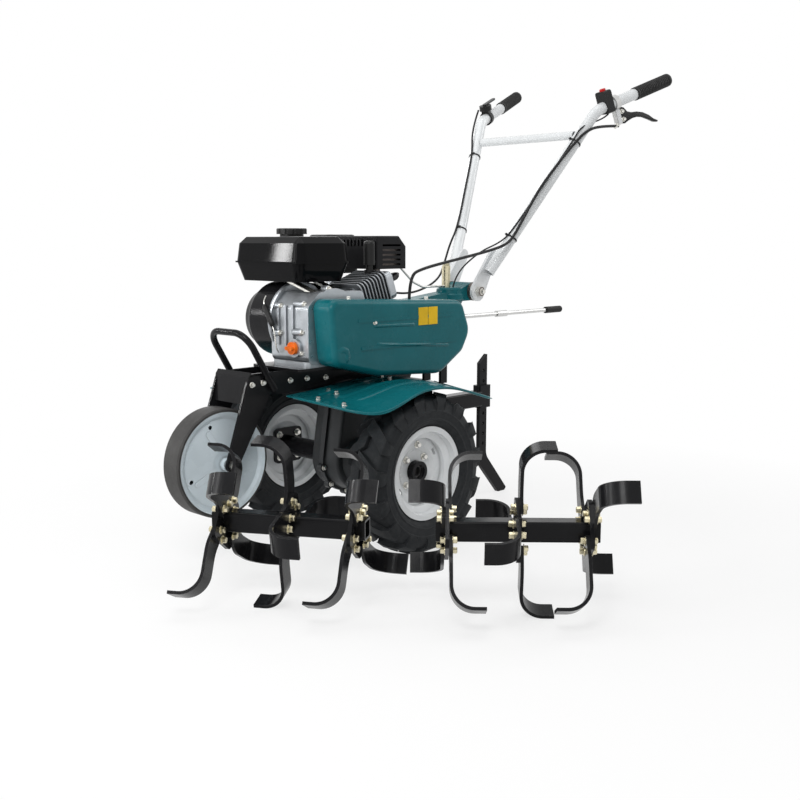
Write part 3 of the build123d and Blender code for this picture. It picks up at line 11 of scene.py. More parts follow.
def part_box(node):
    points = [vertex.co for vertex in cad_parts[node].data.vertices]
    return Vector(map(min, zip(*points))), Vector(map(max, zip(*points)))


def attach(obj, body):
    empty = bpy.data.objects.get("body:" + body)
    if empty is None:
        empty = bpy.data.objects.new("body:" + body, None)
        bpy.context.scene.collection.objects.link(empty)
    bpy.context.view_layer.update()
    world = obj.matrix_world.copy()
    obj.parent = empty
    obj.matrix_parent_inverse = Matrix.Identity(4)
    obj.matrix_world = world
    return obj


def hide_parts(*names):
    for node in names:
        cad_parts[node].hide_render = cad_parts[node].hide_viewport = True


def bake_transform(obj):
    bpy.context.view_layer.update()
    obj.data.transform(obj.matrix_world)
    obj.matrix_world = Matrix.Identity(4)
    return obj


bl_info = {
    "name": "Power Tiller Finish",
    "version": (1, 0, 0),
    "blender": (4, 5, 0),
    "location": "View3D > Sidebar > Tiller",
    "description": "Finishes, tread, fasteners and cables on the packed power tiller",
    "category": "Object",
}

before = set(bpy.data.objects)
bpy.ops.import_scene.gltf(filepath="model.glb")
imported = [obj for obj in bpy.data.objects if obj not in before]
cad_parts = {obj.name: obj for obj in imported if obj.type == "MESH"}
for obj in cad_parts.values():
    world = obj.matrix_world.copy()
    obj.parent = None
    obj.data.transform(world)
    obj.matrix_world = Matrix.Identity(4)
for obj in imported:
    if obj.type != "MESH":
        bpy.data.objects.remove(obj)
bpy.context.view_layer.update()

# Sizes in millimetres from the point on the floor under the middle of the drive axle
MM = 0.001
_low, _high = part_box("axle_shaft")
FLOOR_POINT = Vector(((_low.x + _high.x) / 2, (_low.y + _high.y) / 2, 0))
AXLE_HEIGHT = (_low.z + _high.z) / 2 / MM
WHEEL_MIDDLE = 246.5
CRANK = (140, 562)
CYLINDER_LEAN = radians(20)
ARM_ROOT = Vector((-489, 66, 664))
ARM_BEND = Vector((-784, 212, 1118))
ARM_END = Vector((-1046, 280, 1222))
PIVOT = (-455, 612)
SIDES = {"left": 1, "right": -1}
ROTOR_HEADINGS = {"right": 121, "left": 132.7}
FLANGE_SPACING = 142
FLANGE_TURNS = (56, 16, 56)
UPRIGHT_BENDS = {"right": (-1, -1, -1), "left": (1, 1, -1)}
FLOOR_RADIUS = 14.0
WORLD_LIGHT = 0.32
LAMP_TARGET = (-50, 100, 480)
CAMERA_SHIFT = (0.0046, 0.0028)


def at(x, y, z):
    """Point of the machine, from millimetres to the shared frame."""
    return FLOOR_POINT + Vector((x, y, z)) * MM


def circled(x, y, z, radius, angle):
    """Point on an upright circle about x and z, by an angle in degrees."""
    return at(x + radius * cos(radians(angle)), y, z + radius * sin(radians(angle)))


def mirrored(point, side):
    """A left-hand point or direction, turned over to the right for side -1."""
    return Vector((point[0], side * point[1], point[2]))


ARM_WAY = (ARM_BEND - ARM_ROOT).normalized()
HAND_WAY = (ARM_END - ARM_BEND).normalized()
HAND_DOWN = (Vector((0, 0, -1)) + HAND_WAY * HAND_WAY.z).normalized()


def arm_point(share, side, offset=Vector()):
    """Point along an arm, from its root at 0 to its bend at 1."""
    return mirrored(ARM_ROOT.lerp(ARM_BEND, share) + offset, side)


def hand_point(distance, side, offset=Vector()):
    """Point on a grip tube's centre line, a distance behind the bend."""
    return mirrored(ARM_BEND + HAND_WAY * distance + offset, side)


def paint(name, description, default):
    """Colour property."""
    return FloatVectorProperty(
        name=name, description=description, subtype="COLOR", size=3, min=0, max=1, default=default
    )


class TillerColours(PropertyGroup):
    """Colours of the finishes"""

    teal: paint("Cover teal", "Enamel of cover and fenders", (0.004, 0.125, 0.145))
    black: paint("Frame black", "Enamel of frame, tank and tines", (0.008, 0.008, 0.009))
    white: paint("Tube white", "Enamel of handlebar and rims", (0.76, 0.78, 0.79))
    pale: paint("Disc pale", "Paint of the nose wheel's discs", (0.66, 0.75, 0.80))
    alloy: paint("Alloy", "Bare cast alloy of the engine", (0.54, 0.57, 0.60))
    casting: paint("Gearbox grey", "Painted casting of the gearbox", (0.024, 0.026, 0.028))
    rubber: paint("Tyre rubber", "Rubber of the drive tyres", (0.010, 0.0115, 0.013))
    orange: paint("Plug orange", "Plastic of the oil plug", (0.85, 0.17, 0.012))
    patch: paint("Patch yellow", "Plain patches on the belt cover", (0.80, 0.50, 0.012))


class TillerTread(PropertyGroup):
    """Tread of the drive tyres"""

    lugs: IntProperty(name="Lugs", description="Lugs on each half of a tyre", default=15, min=8, max=24)
    width: FloatProperty(
        name="Lug width", description="Across a lug on the crown", default=0.037,
        unit="LENGTH", subtype="DISTANCE",
    )
    slant: FloatProperty(
        name="Lug slant", description="Turn of a lug from crown to shoulder", default=radians(13),
        subtype="ANGLE",
    )


class TillerFasteners(PropertyGroup):
    """Sizes of the hex heads"""

    small: FloatProperty(
        name="Small head", description="Across the flats", default=0.0085, unit="LENGTH", subtype="DISTANCE"
    )
    medium: FloatProperty(
        name="Medium head", description="Across the flats", default=0.0115, unit="LENGTH", subtype="DISTANCE"
    )


class TillerStage(PropertyGroup):
    """Camera and light"""

    lens: FloatProperty(
        name="Lens", description="Focal length on a 36 mm sensor", default=47.22, unit="CAMERA",
    )
    camera: FloatVectorProperty(
        name="Camera", description="Place from the floor point, in metres", size=3, subtype="TRANSLATION",
        default=(1.8195, 1.9518, 0.757),
    )
    heading: FloatProperty(
        name="Heading", description="Where the camera looks", default=radians(-135.77), subtype="ANGLE",
    )
    pitch: FloatProperty(
        name="Pitch", description="Tilt of the camera", default=radians(-8.84), subtype="ANGLE",
    )
    key: FloatProperty(name="Key light", description="Power of the key lamp", default=34, unit="POWER")
    fill: FloatProperty(name="Fill light", description="Power of the fill lamps", default=12, unit="POWER")
    strip: FloatProperty(
        name="Strip light", description="Power of the upright strips", default=7, unit="POWER",
    )
    floor_glow: FloatProperty(
        name="Floor glow", description="Share of plain white in the floor under the machine", default=0.7,
        min=0, max=1, subtype="FACTOR",
    )


def link(tree, kind, inputs=None, **settings):
    """New shader node with its settings and inputs; an input may be a value or another node's socket."""
    made = tree.nodes.new("ShaderNode" + kind)
    for key, value in settings.items():
        setattr(made, key, value)
    for socket, value in (inputs or {}).items():
        if isinstance(value, bpy.types.NodeSocket):
            tree.links.new(value, made.inputs[socket])
        else:
            made.inputs[socket].default_value = value
    return made


def new_material(name):
    """Node material; returns its tree, its shader and its object coordinates."""
    mat = bpy.data.materials.new(name)
    mat.use_nodes = True
    tree = mat.node_tree
    shader = tree.nodes["Principled BSDF"]
    where = link(tree, "TexCoord").outputs["Object"]
    return tree, shader, where


def noise(tree, where, scale, detail=4, rough=0.6, stretch=None):
    """Noise value on object coordinates."""
    if stretch:
        where = link(tree, "Mapping", {"Vector": where, "Scale": stretch}).outputs[0]
    return link(
        tree, "TexNoise", {"Vector": where, "Scale": scale, "Detail": detail, "Roughness": rough}
    ).outputs["Fac"]


def spread(tree, value, low, high, to_low, to_high):
    """Value mapped from one range to another, clamped."""
    return link(
        tree, "MapRange",
        {"Value": value, "From Min": low, "From Max": high, "To Min": to_low, "To Max": to_high},
    ).outputs["Result"]


def rgba(value):
    """A colour as the four values of a socket; a socket as it is."""
    return value if isinstance(value, bpy.types.NodeSocket) else (*value[:3], 1)


def mixed(tree, share, first, second):
    """Mix of two colours."""
    ends = {0: share, 6: rgba(first), 7: rgba(second)}
    return link(tree, "Mix", ends, data_type="RGBA").outputs[2]


def multiplied(tree, first, second):
    """Product of two values."""
    return link(tree, "Math", {0: first, 1: second}, operation="MULTIPLY").outputs[0]


def edges(tree, radius):
    """One along sharp edges, zero on flat faces."""
    bevelled = link(tree, "Bevel", {"Radius": radius}, samples=4).outputs[0]
    flat = link(tree, "NewGeometry").outputs["Normal"]
    turn = link(tree, "VectorMath", {0: bevelled, 1: flat}, operation="DOT_PRODUCT").outputs["Value"]
    return spread(tree, turn, 0.99, 0.90, 0, 1)


def bumped(tree, shader, height, strength, distance):
    """Bump on the shader from a height."""
    made = link(tree, "Bump", {"Height": height, "Strength": strength, "Distance": distance})
    tree.links.new(made.outputs[0], shader.inputs["Normal"])


def shade(colour, factor):
    """Colour made darker or lighter."""
    return tuple(min(1, c * factor) for c in colour[:3])


def lifted(colour, add, factor):
    """Colour with a little added to each channel, then made lighter."""
    return shade(tuple(c + add for c in colour[:3]), factor)


def toned(tree, value, colour, dark, light):
    """Colour that drifts between a darker and a lighter shade with a noise value."""
    return mixed(tree, spread(tree, value, 0.3, 0.7, 0, 1), shade(colour, dark), shade(colour, light))


def shaded_in_hollows(tree, base, reach, samples, low, high, share, dark):
    """Painted shade in the hollows: colour darkened where ambient occlusion finds nearby surfaces."""
    hollow = link(tree, "AmbientOcclusion", {"Distance": reach}, samples=samples).outputs["AO"]
    return mixed(tree, spread(tree, hollow, low, high, share, 0), base, dark)


def lit_worn_edges(tree, base, radius, share, edge_wear_highlight):
    """Lighter colour along sharp edges: partly edge wear, partly a painted edge highlight."""
    return mixed(tree, multiplied(tree, edges(tree, radius), share), base, edge_wear_highlight)


def settled(tree, shader, base, rough, constants):
    """Colour and roughness linked to the shader, and its constants set."""
    tree.links.new(base, shader.inputs["Base Color"])
    tree.links.new(rough, shader.inputs["Roughness"])
    for socket, value in constants.items():
        shader.inputs[socket].default_value = value


def enamel(
    name, colour, rough=0.22, edge_wear_highlight=None, coat=0.3, wear=0.35, dust=0.12, shine=0.4, peel=0.10, hollow_shade=0.0
):
    """Sprayed gloss enamel: orange peel, faint cloudiness, dust film, painted shade in corners, and lighter
    edges that are partly edge wear and partly a painted edge highlight.
    """
    tree, shader, where = new_material(name)
    base = toned(tree, noise(tree, where, 5.0, 3), colour, 0.88, 1.10)
    film = spread(tree, noise(tree, where, 30, 3, 0.5), 0.52, 0.80, 0, dust)
    base = mixed(tree, film, base, lifted(colour, 0.05, 1.25))
    if hollow_shade:
        # Painted shade: the colour darkens in corners and hollows by ambient occlusion.
        base = shaded_in_hollows(tree, base, 0.010, 8, 0.45, 0.90, hollow_shade, shade(colour, 0.25))
    if wear:
        # Lighter edges in patches: partly edge wear, partly a painted edge highlight.
        share = spread(tree, noise(tree, where, 120, 5), 0.40, 0.62, 0, wear)
        base = lit_worn_edges(tree, base, 0.0016, share, edge_wear_highlight or lifted(colour, 0.10, 1.5))
    settled(
        tree, shader, base, spread(tree, noise(tree, where, 16, 5), 0.3, 0.75, rough * 0.8, rough * 1.4),
        {"Specular IOR Level": shine, "Coat Weight": coat, "Coat Roughness": 0.07},
    )
    if peel:
        bumped(tree, shader, noise(tree, where, 420, 2, 0.4), peel, 0.0008)


def cast_metal(name, colour, rough, metal, grain=260):
    """Sand-cast metal: grain, mottled tone and painted shade in the hollows."""
    tree, shader, where = new_material(name)
    base = toned(tree, noise(tree, where, 14, 5), colour, 0.78, 1.12)
    # Painted shade: the casting darkens in its hollows by ambient occlusion.
    base = shaded_in_hollows(tree, base, 0.012, 4, 0.35, 0.95, 0.65, shade(colour, 0.18))
    # Lighter edges all round: partly wear, partly a painted edge highlight.
    base = lit_worn_edges(tree, base, 0.0012, 0.45, lifted(colour, 0.06, 1.35))
    settled(
        tree, shader, base, spread(tree, noise(tree, where, 40, 4), 0.3, 0.7, rough - 0.08, rough + 0.12),
        {"Metallic": metal, "Specular IOR Level": 0.22},
    )
    bumped(tree, shader, noise(tree, where, grain, 4, 0.65), 0.35, 0.0012)


def bright_metal(name, colour, rough, stretch=(1, 1, 1), wear=0.3):
    """Plated or turned metal with fine streaks and dull spots."""
    tree, shader, where = new_material(name)
    streak = noise(tree, where, 300, 3, 0.6, stretch)
    spots = spread(tree, noise(tree, where, 90, 5), 0.52, 0.72, 0, wear)
    base = mixed(tree, spots, toned(tree, streak, colour, 0.92, 1.06), shade(colour, 0.5))
    settled(
        tree, shader, base, spread(tree, streak, 0.25, 0.75, rough - 0.08, rough + 0.12), {"Metallic": 1.0}
    )
    bumped(tree, shader, streak, 0.05, 0.0004)


def rubber(name, colour, rough, grain, dust=0.25):
    """Moulded rubber: fine grain, faint bloom and dust."""
    tree, shader, where = new_material(name)
    bloom = noise(tree, where, 11, 5)
    base = toned(tree, bloom, colour, 0.75, 1.35)
    dusty = multiplied(tree, spread(tree, noise(tree, where, 55, 6, 0.7), 0.45, 0.75, 0, 1), dust)
    base = mixed(tree, dusty, base, lifted(colour, 0.03, 1.6))
    # Lighter edges all round: partly scuffing, partly a painted edge highlight.
    base = lit_worn_edges(tree, base, 0.0018, 0.35, lifted(colour, 0.02, 1.7))
    rough = spread(tree, bloom, 0.3, 0.7, rough - 0.08, rough + 0.10)
    settled(tree, shader, base, rough, {"Specular IOR Level": 0.2})
    bumped(tree, shader, noise(tree, where, grain, 5, 0.6), 0.30, 0.0010)


def moulded(name, colour, rough, grain=520, strength=0.18):
    """Moulded plastic with a fine spark-eroded grain."""
    tree, shader, where = new_material(name)
    tone = noise(tree, where, 24, 4)
    base = toned(tree, tone, colour, 0.86, 1.12)
    # Lighter edges all round: partly wear, partly a painted edge highlight.
    base = lit_worn_edges(tree, base, 0.0014, 0.30, lifted(colour, 0.04, 1.35))
    rough = spread(tree, tone, 0.3, 0.7, rough - 0.06, rough + 0.08)
    settled(tree, shader, base, rough, {"Specular IOR Level": 0.2})
    bumped(tree, shader, noise(tree, where, grain, 3), strength, 0.0007)


NODE_FINISH = {
    "teal enamel": ("belt_cover", "belt_cover_back", "left_fender", "right_fender", "handlebar_base"),
    "black enamel": (
        "main_frame", "front_fork", "front_bumper", "rear_hitch", "depth_stake", "fan_shroud",
        "fender_brackets", "left_hub", "right_hub", "cover_stays", "left_rotor_frame", "right_rotor_frame",
    ),
    "tank enamel": ("fuel_tank",),
    "tine enamel": ("left_rotor_tines", "right_rotor_tines"),
    "guard enamel": ("muffler_guard",),
    "white enamel": ("handlebar_crossbar", "left_handlebar_arm", "right_handlebar_arm"),
    "rim enamel": ("left_rim", "right_rim"),
    "disc enamel": ("front_wheel_disc",),
    "bare alloy": ("crankcase", "cylinder_head_cover", "carburettor"),
    "fin alloy": ("cylinder_fins",),
    "gearbox casting": ("gearbox_housing", "input_bearing"),
    "zinc plate": ("front_axle_bolt", "pivot_bolt", "tank_brackets"),
    "yellow zinc": ("lock_sleeve",),
    "drawn steel": ("axle_shaft", "gear_lever", "base_rod", "clutch_lever_mount"),
    "burnt steel": ("muffler", "exhaust_pipe", "pivot_discs"),
    "nose band": ("front_tyre",),
    "grip rubber": ("gear_lever_grip",),
    "black plastic": (
        "recoil_starter", "air_cleaner", "fuel_cap", "kill_switch", "throttle_control", "exhaust_post",
    ),
    "orange plastic": ("oil_plug",),
}


def make_finishes(scene):
    """All materials of the tiller."""
    c = scene.tiller_colours
    # Edge colours given to the enamels are for lighter edges: partly wear, partly a painted edge highlight.
    enamel("teal enamel", c.teal, 0.26, edge_wear_highlight=(0.06, 0.26, 0.28), coat=0.06, shine=0.14)
    enamel("black enamel", c.black, 0.17, edge_wear_highlight=(0.06, 0.06, 0.06), coat=0, dust=0.04, shine=0.12)
    enamel(
        "tank enamel", shade(c.black, 0.5), 0.03, edge_wear_highlight=(0.03, 0.03, 0.03), coat=0, wear=0.1, dust=0.01,
        shine=0.07, peel=0.02,
    )
    enamel("tine enamel", c.black, 0.20, edge_wear_highlight=(0.14, 0.14, 0.14), coat=0, wear=0.5, dust=0.05, shine=0.13)
    enamel(
        "guard enamel", shade(c.black, 1.1), 0.36, edge_wear_highlight=(0.06, 0.06, 0.06), coat=0, dust=0.05, shine=0.12
    )
    enamel("white enamel", c.white, 0.24, wear=0, dust=0.06, peel=0)
    # Rims and nose-wheel discs get painted shade in their hollows.
    enamel("rim enamel", c.white, 0.24, wear=0, dust=0.10, peel=0.02, hollow_shade=0.5)
    enamel("disc enamel", c.pale, 0.26, edge_wear_highlight=(0.80, 0.83, 0.85), wear=0.5, dust=0.06, peel=0.03, hollow_shade=0.8)
    cast_metal("bare alloy", shade(c.alloy, 0.8), 0.34, 0.9)
    cast_metal("fin alloy", shade(c.alloy, 0.5), 0.42, 0.85)
    cast_metal("gearbox casting", c.casting, 0.40, 0.1, 190)
    bright_metal("zinc plate", (0.66, 0.65, 0.61), 0.28)
    bright_metal("yellow zinc", (0.66, 0.60, 0.42), 0.28)
    bright_metal("drawn steel", (0.58, 0.58, 0.57), 0.26, (0.2, 6, 6))
    bright_metal("burnt steel", (0.16, 0.14, 0.13), 0.5, wear=0.6)
    rubber("tyre rubber", c.rubber, 0.62, 130)
    rubber("nose band", (0.042, 0.041, 0.040), 0.55, 90)
    rubber("grip rubber", (0.010, 0.010, 0.010), 0.55, 240, 0.15)
    rubber("cable sheath", (0.011, 0.011, 0.012), 0.38, 300, 0.1)
    moulded("black plastic", (0.012, 0.012, 0.012), 0.36)
    moulded("orange plastic", c.orange, 0.30, strength=0.08)
    moulded("red plastic", (0.55, 0.012, 0.012), 0.28, strength=0.08)
    moulded("patch film", c.patch, 0.34, 900, 0.05)
    moulded("white film", (0.72, 0.73, 0.74), 0.34, 900, 0.05)


def mesh_of(name, bm):
    """Mesh of a finished bmesh, which is freed."""
    mesh = bpy.data.meshes.new(name)
    bm.to_mesh(mesh)
    bm.free()
    return mesh


def piece(name, shape, finish, body="chassis", replaces=(), smooth=35):
    """Object with its finish and body; the shape is a mesh, or a bmesh that is freed."""
    mesh = shape if isinstance(shape, bpy.types.Mesh) else mesh_of(name, shape)
    obj = bpy.data.objects.new(name, mesh)
    bpy.context.scene.collection.objects.link(obj)
    mesh.materials.clear()
    mesh.materials.append(bpy.data.materials[finish])
    mesh.polygons.foreach_set("use_smooth", [True] * len(mesh.polygons))
    mesh.set_sharp_from_angle(angle=radians(smooth))
    if body:
        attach(obj, body)
    if replaces:
        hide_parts(*replaces)
    return obj


def pointing(place, axis):
    """Matrix that puts Z along an axis at a place."""
    return Matrix.Translation(place) @ Vector(axis).to_track_quat("Z", "Y").to_matrix().to_4x4()


def joined_verts(verts):
    """All vertices joined by edges to the given ones."""
    found, todo = set(verts), list(verts)
    while todo:
        for edge in todo.pop().link_edges:
            for v in edge.verts:
                if v not in found:
                    found.add(v)
                    todo.append(v)
    return list(found)


def spun(bm, verts, ring, steps, cent=(0, 0, 0), axis=(0, 0, 1)):
    """Full turn of an outline about an axis."""
    bmesh.ops.spin(bm, geom=verts + ring, cent=cent, axis=axis, angle=2 * pi, steps=steps, use_merge=True)


def turned(bm, outline, matrix, steps, unit=MM):
    """Solid of revolution about Z; its outline of (radius, height) ends on the axis or where it starts."""
    verts = [bm.verts.new((r * unit, 0, z * unit)) for r, z in outline]
    ring = [bm.edges.new(pair) for pair in zip(verts, verts[1:])]
    spun(bm, verts, ring, steps)
    whole = joined_verts(verts)
    bmesh.ops.remove_doubles(bm, verts=whole, dist=1e-6)
    kept = [v for v in whole if v.is_valid]
    faces = list({f for v in kept for f in v.link_faces})
    bmesh.ops.recalc_face_normals(bm, faces=faces)
    bmesh.ops.transform(bm, matrix=matrix, verts=kept)


def turned_piece(name, outline, place, axis, steps, finish, body="chassis", replaces=(), smooth=35):
    """Piece that is one solid of revolution, from an outline in millimetres."""
    bm = bmesh.new()
    turned(bm, outline, pointing(place, axis), steps)
    piece(name, bm, finish, body, replaces, smooth)


def rounded(bm, edges_in, offset, segments):
    """Bevel over the given edges."""
    bmesh.ops.bevel(
        bm, geom=edges_in, offset=offset, offset_type="OFFSET", segments=segments, profile=0.5,
        affect="EDGES", clamp_overlap=True, material=-1,
    )


def bolt(bm, place, axis, across):
    """Hex head on a washer, with a chamfered top."""
    matrix = pointing(place, axis)
    lift, wide = across * 0.12, across * 0.82
    washer = [(0, 0), (wide, 0), (wide, lift * 0.6), (across * 0.77, lift), (0, lift)]
    turned(bm, washer, matrix, 20, unit=1)
    radius, tall = across * 0.577, across * 0.62
    head = bmesh.ops.create_cone(
        bm, cap_ends=True, segments=6, radius1=radius, radius2=radius, depth=tall,
        matrix=matrix @ Matrix.Translation((0, 0, lift + tall / 2)),
    )["verts"]
    axis = Vector(axis).normalized()
    top = max({f for v in head for f in v.link_faces}, key=lambda f: f.calc_center_median().dot(axis))
    bmesh.ops.inset_individual(bm, faces=[top], thickness=radius * 0.16, depth=tall * 0.16)


def bolts(name, places, body="chassis", finish="zinc plate"):
    """One piece of like bolts; each place is a point, an axis and a size across the flats."""
    bm = bmesh.new()
    for place, axis, across in places:
        bolt(bm, place, axis, across)
    piece(name, bm, finish, body, smooth=30)


def block(bm, middle, size, matrix=Matrix(), round_by=0.15, segments=2):
    """Rounded block: size in metres along the matrix's own axes."""
    whole = matrix @ Matrix.Translation(middle) @ Matrix.Diagonal((*size, 1))
    made = bmesh.ops.create_cube(bm, size=1.0, matrix=whole)
    ring = list({e for v in made["verts"] for e in v.link_edges})
    rounded(bm, ring, min(size) * round_by, segments)


def tube_mesh(name, points, radius, resolution=10):
    """Mesh of a smooth round cable through control points in the shared frame."""
    curve = bpy.data.curves.new(name, "CURVE")
    curve.dimensions = "3D"
    spline = curve.splines.new("NURBS")
    spline.points.add(len(points) - 1)
    for target, point in zip(spline.points, points):
        target.co = (*point, 1)
    spline.order_u = 3
    spline.use_endpoint_u = True
    curve.resolution_u = resolution
    curve.bevel_depth = radius
    curve.bevel_resolution = 4
    curve.use_fill_caps = True
    holder = bpy.data.objects.new(name, curve)
    mesh = bpy.data.meshes.new_from_object(holder)
    bpy.data.objects.remove(holder)
    bpy.data.curves.remove(curve)
    mesh.name = name
    return mesh


def tube_piece(name, points, radius, finish, resolution=10):
    """Piece of the chassis that is one bent rod, lead or rolled edge."""
    mesh = tube_mesh(name, points, radius * MM, resolution)
    piece(name, mesh, finish, smooth=60)


def surface(node):
    """Search tree over a CAD node's mesh, for laying trim on it."""
    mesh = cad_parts[node].data
    return BVHTree.FromPolygons([v.co for v in mesh.vertices], [p.vertices for p in mesh.polygons])


def cast(tree, start, way):
    """Point and normal where a ray meets a surface, the normal towards the ray's start."""
    spot, normal, _, _ = tree.ray_cast(start, way)
    if spot is None:
        raise RuntimeError(f"nothing on the ray from {tuple(start)}")
    return spot, -normal if normal.dot(way) > 0 else normal


def drop(tree, x, y):
    """Point and normal on top of a surface at x and y."""
    return cast(tree, at(x, y, 2000), Vector((0, 0, -1)))


def seen(tree, x, z):
    """Point and normal on a surface's left face at x and z."""
    return cast(tree, at(x, 400, z), Vector((0, -1, 0)))


def bead(bm, columns, rows, fade, tall, place):
    """Raised strip; place gives its point and normal by the shares along and across and the end's fade."""
    first, up = len(bm.faces), Vector()
    for v in bmesh.ops.create_grid(bm, x_segments=columns, y_segments=rows, size=0.5)["verts"]:
        u, w = v.co.x + 0.5, v.co.y * 2
        end = min(1, min(u, 1 - u) / fade)
        spot, normal = place(u, w, end)
        up += normal
        v.co = spot + normal * (tall * (1 - w * w) * end - 0.3) * MM
    bm.faces.ensure_lookup_table()
    made = bm.faces[first:]
    bmesh.ops.recalc_face_normals(bm, faces=made)
    if sum(f.normal.dot(up) for f in made) < 0:
        bmesh.ops.reverse_faces(bm, faces=made)


def backdrop_rays(tree):
    """One for camera, mirror and glass rays, zero for the light that falls on the machine."""
    rays = link(tree, "LightPath")
    share = rays.outputs["Is Camera Ray"]
    for other in ("Is Glossy Ray", "Is Transmission Ray"):
        share = link(tree, "Math", {0: share, 1: rays.outputs[other]}, operation="MAXIMUM").outputs[0]
    return share


class TILLER_OT_stage(Operator):
    """Sets the floor, the lamps and the camera"""

    bl_idname = "tiller.stage"
    bl_label = "Stage"

    def execute(self, context):
        scene, stage = context.scene, context.scene.tiller_stage
        scene.view_settings.view_transform = "Standard"
        bm = bmesh.new()
        bmesh.ops.create_circle(bm, cap_ends=True, segments=64, radius=FLOOR_RADIUS)
        mesh = mesh_of("floor", bm)
        floor = bpy.data.objects.new("floor", mesh)
        scene.collection.objects.link(floor)
        tree, shader, where = new_material("floor paper")
        tone = noise(tree, where, 3, 3)
        paper = mixed(tree, tone, (0.94, 0.94, 0.94), (0.97, 0.97, 0.97))
        tree.links.new(paper, shader.inputs["Base Color"])
        shader.inputs["Roughness"].default_value = 0.9
        shader.inputs["Specular IOR Level"].default_value = 0.1
        glow = link(tree, "Emission", {"Color": (1, 1, 1, 1), "Strength": 1.0})
        away = link(tree, "VectorMath", {0: where}, operation="LENGTH").outputs["Value"]
        share = spread(tree, away, 0.6, 1.5, stage.floor_glow, 1.0)
        blend = link(
            tree, "MixShader",
            {0: multiplied(tree, backdrop_rays(tree), share), 1: shader.outputs[0], 2: glow.outputs[0]},
        )
        tree.links.new(blend.outputs[0], tree.nodes["Material Output"].inputs[0])
        mesh.materials.append(bpy.data.materials["floor paper"])
        self.light_world(scene)
        self.place_lamps(scene, stage)
        self.place_camera(scene, stage)
        return {"FINISHED"}

    @staticmethod
    def light_world(scene):
        """White backdrop for the camera and for reflections, softer as a light."""
        world = bpy.data.worlds.new("studio")
        scene.world = world
        world.use_nodes = True
        tree = world.node_tree
        back = tree.nodes["Background"]
        strength = spread(tree, backdrop_rays(tree), 0, 1, WORLD_LIGHT, 1.0)
        tree.links.new(strength, back.inputs["Strength"])
        back.inputs["Color"].default_value = (1, 1, 1, 1)

    @staticmethod
    def place_lamps(scene, stage):
        """Soft boxes: key from the front left, fills around and overhead, and strips for the glossy faces."""
        target = at(*LAMP_TARGET)
        lamps = (
            ("key", (1900, 1500, 2300), stage.key, 1.0, 1.0),
            ("front fill", (2300, -900, 1300), stage.fill, 1.2, 1.2),
            ("rear fill", (-2300, 1100, 1900), stage.fill, 1.2, 1.2),
            ("back fill", (-1300, -2000, 1700), stage.fill, 1.4, 1.4),
            ("overhead", (-100, 0, 2900), stage.fill * 1.4, 1.8, 1.8),
            ("front strip", (2250, -700, 800), stage.strip, 0.10, 1.3),
            ("nose strip", (2500, 100, 800), stage.strip, 0.07, 1.3),
            ("wide window", (1997, -2176, 1200), stage.strip * 0.4, 0.035, 0.5),
            ("narrow window", (1997, -2214, 1200), stage.strip * 0.2, 0.018, 0.5),
            ("far window", (1997, -2250, 1200), stage.strip * 0.35, 0.030, 0.5),
        )
        for name, place, power, width, height in lamps:
            data = bpy.data.lights.new(name, "AREA")
            data.energy = power
            data.shape = "RECTANGLE"
            data.size = width
            data.size_y = height
            lamp = bpy.data.objects.new(name, data)
            lamp.location = at(*place)
            lamp.rotation_euler = (target - lamp.location).to_track_quat("-Z", "Y").to_euler()
            scene.collection.objects.link(lamp)

    @staticmethod
    def place_camera(scene, stage):
        """Camera where the photograph was taken."""
        data = bpy.data.cameras.new("camera")
        data.sensor_fit = "HORIZONTAL"
        data.sensor_width = 36.0
        data.lens = stage.lens
        data.shift_x, data.shift_y = CAMERA_SHIFT
        data.clip_end = 60.0
        camera = bpy.data.objects.new("camera", data)
        camera.location = FLOOR_POINT + Vector(stage.camera)
        ahead = Vector((
            cos(stage.pitch) * cos(stage.heading), cos(stage.pitch) * sin(stage.heading), sin(stage.pitch)
        ))
        camera.rotation_euler = ahead.to_track_quat("-Z", "Y").to_euler()
        scene.collection.objects.link(camera)
        scene.camera = camera


class TILLER_OT_finishes(Operator):
    """Gives every CAD node its finish"""

    bl_idname = "tiller.finishes"
    bl_label = "Finishes"

    def execute(self, context):
        make_finishes(context.scene)
        for finish, names in NODE_FINISH.items():
            for name in names:
                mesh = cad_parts[name].data
                mesh.materials.clear()
                mesh.materials.append(bpy.data.materials[finish])
                mesh.polygons.foreach_set("material_index", [0] * len(mesh.polygons))
        return {"FINISHED"}


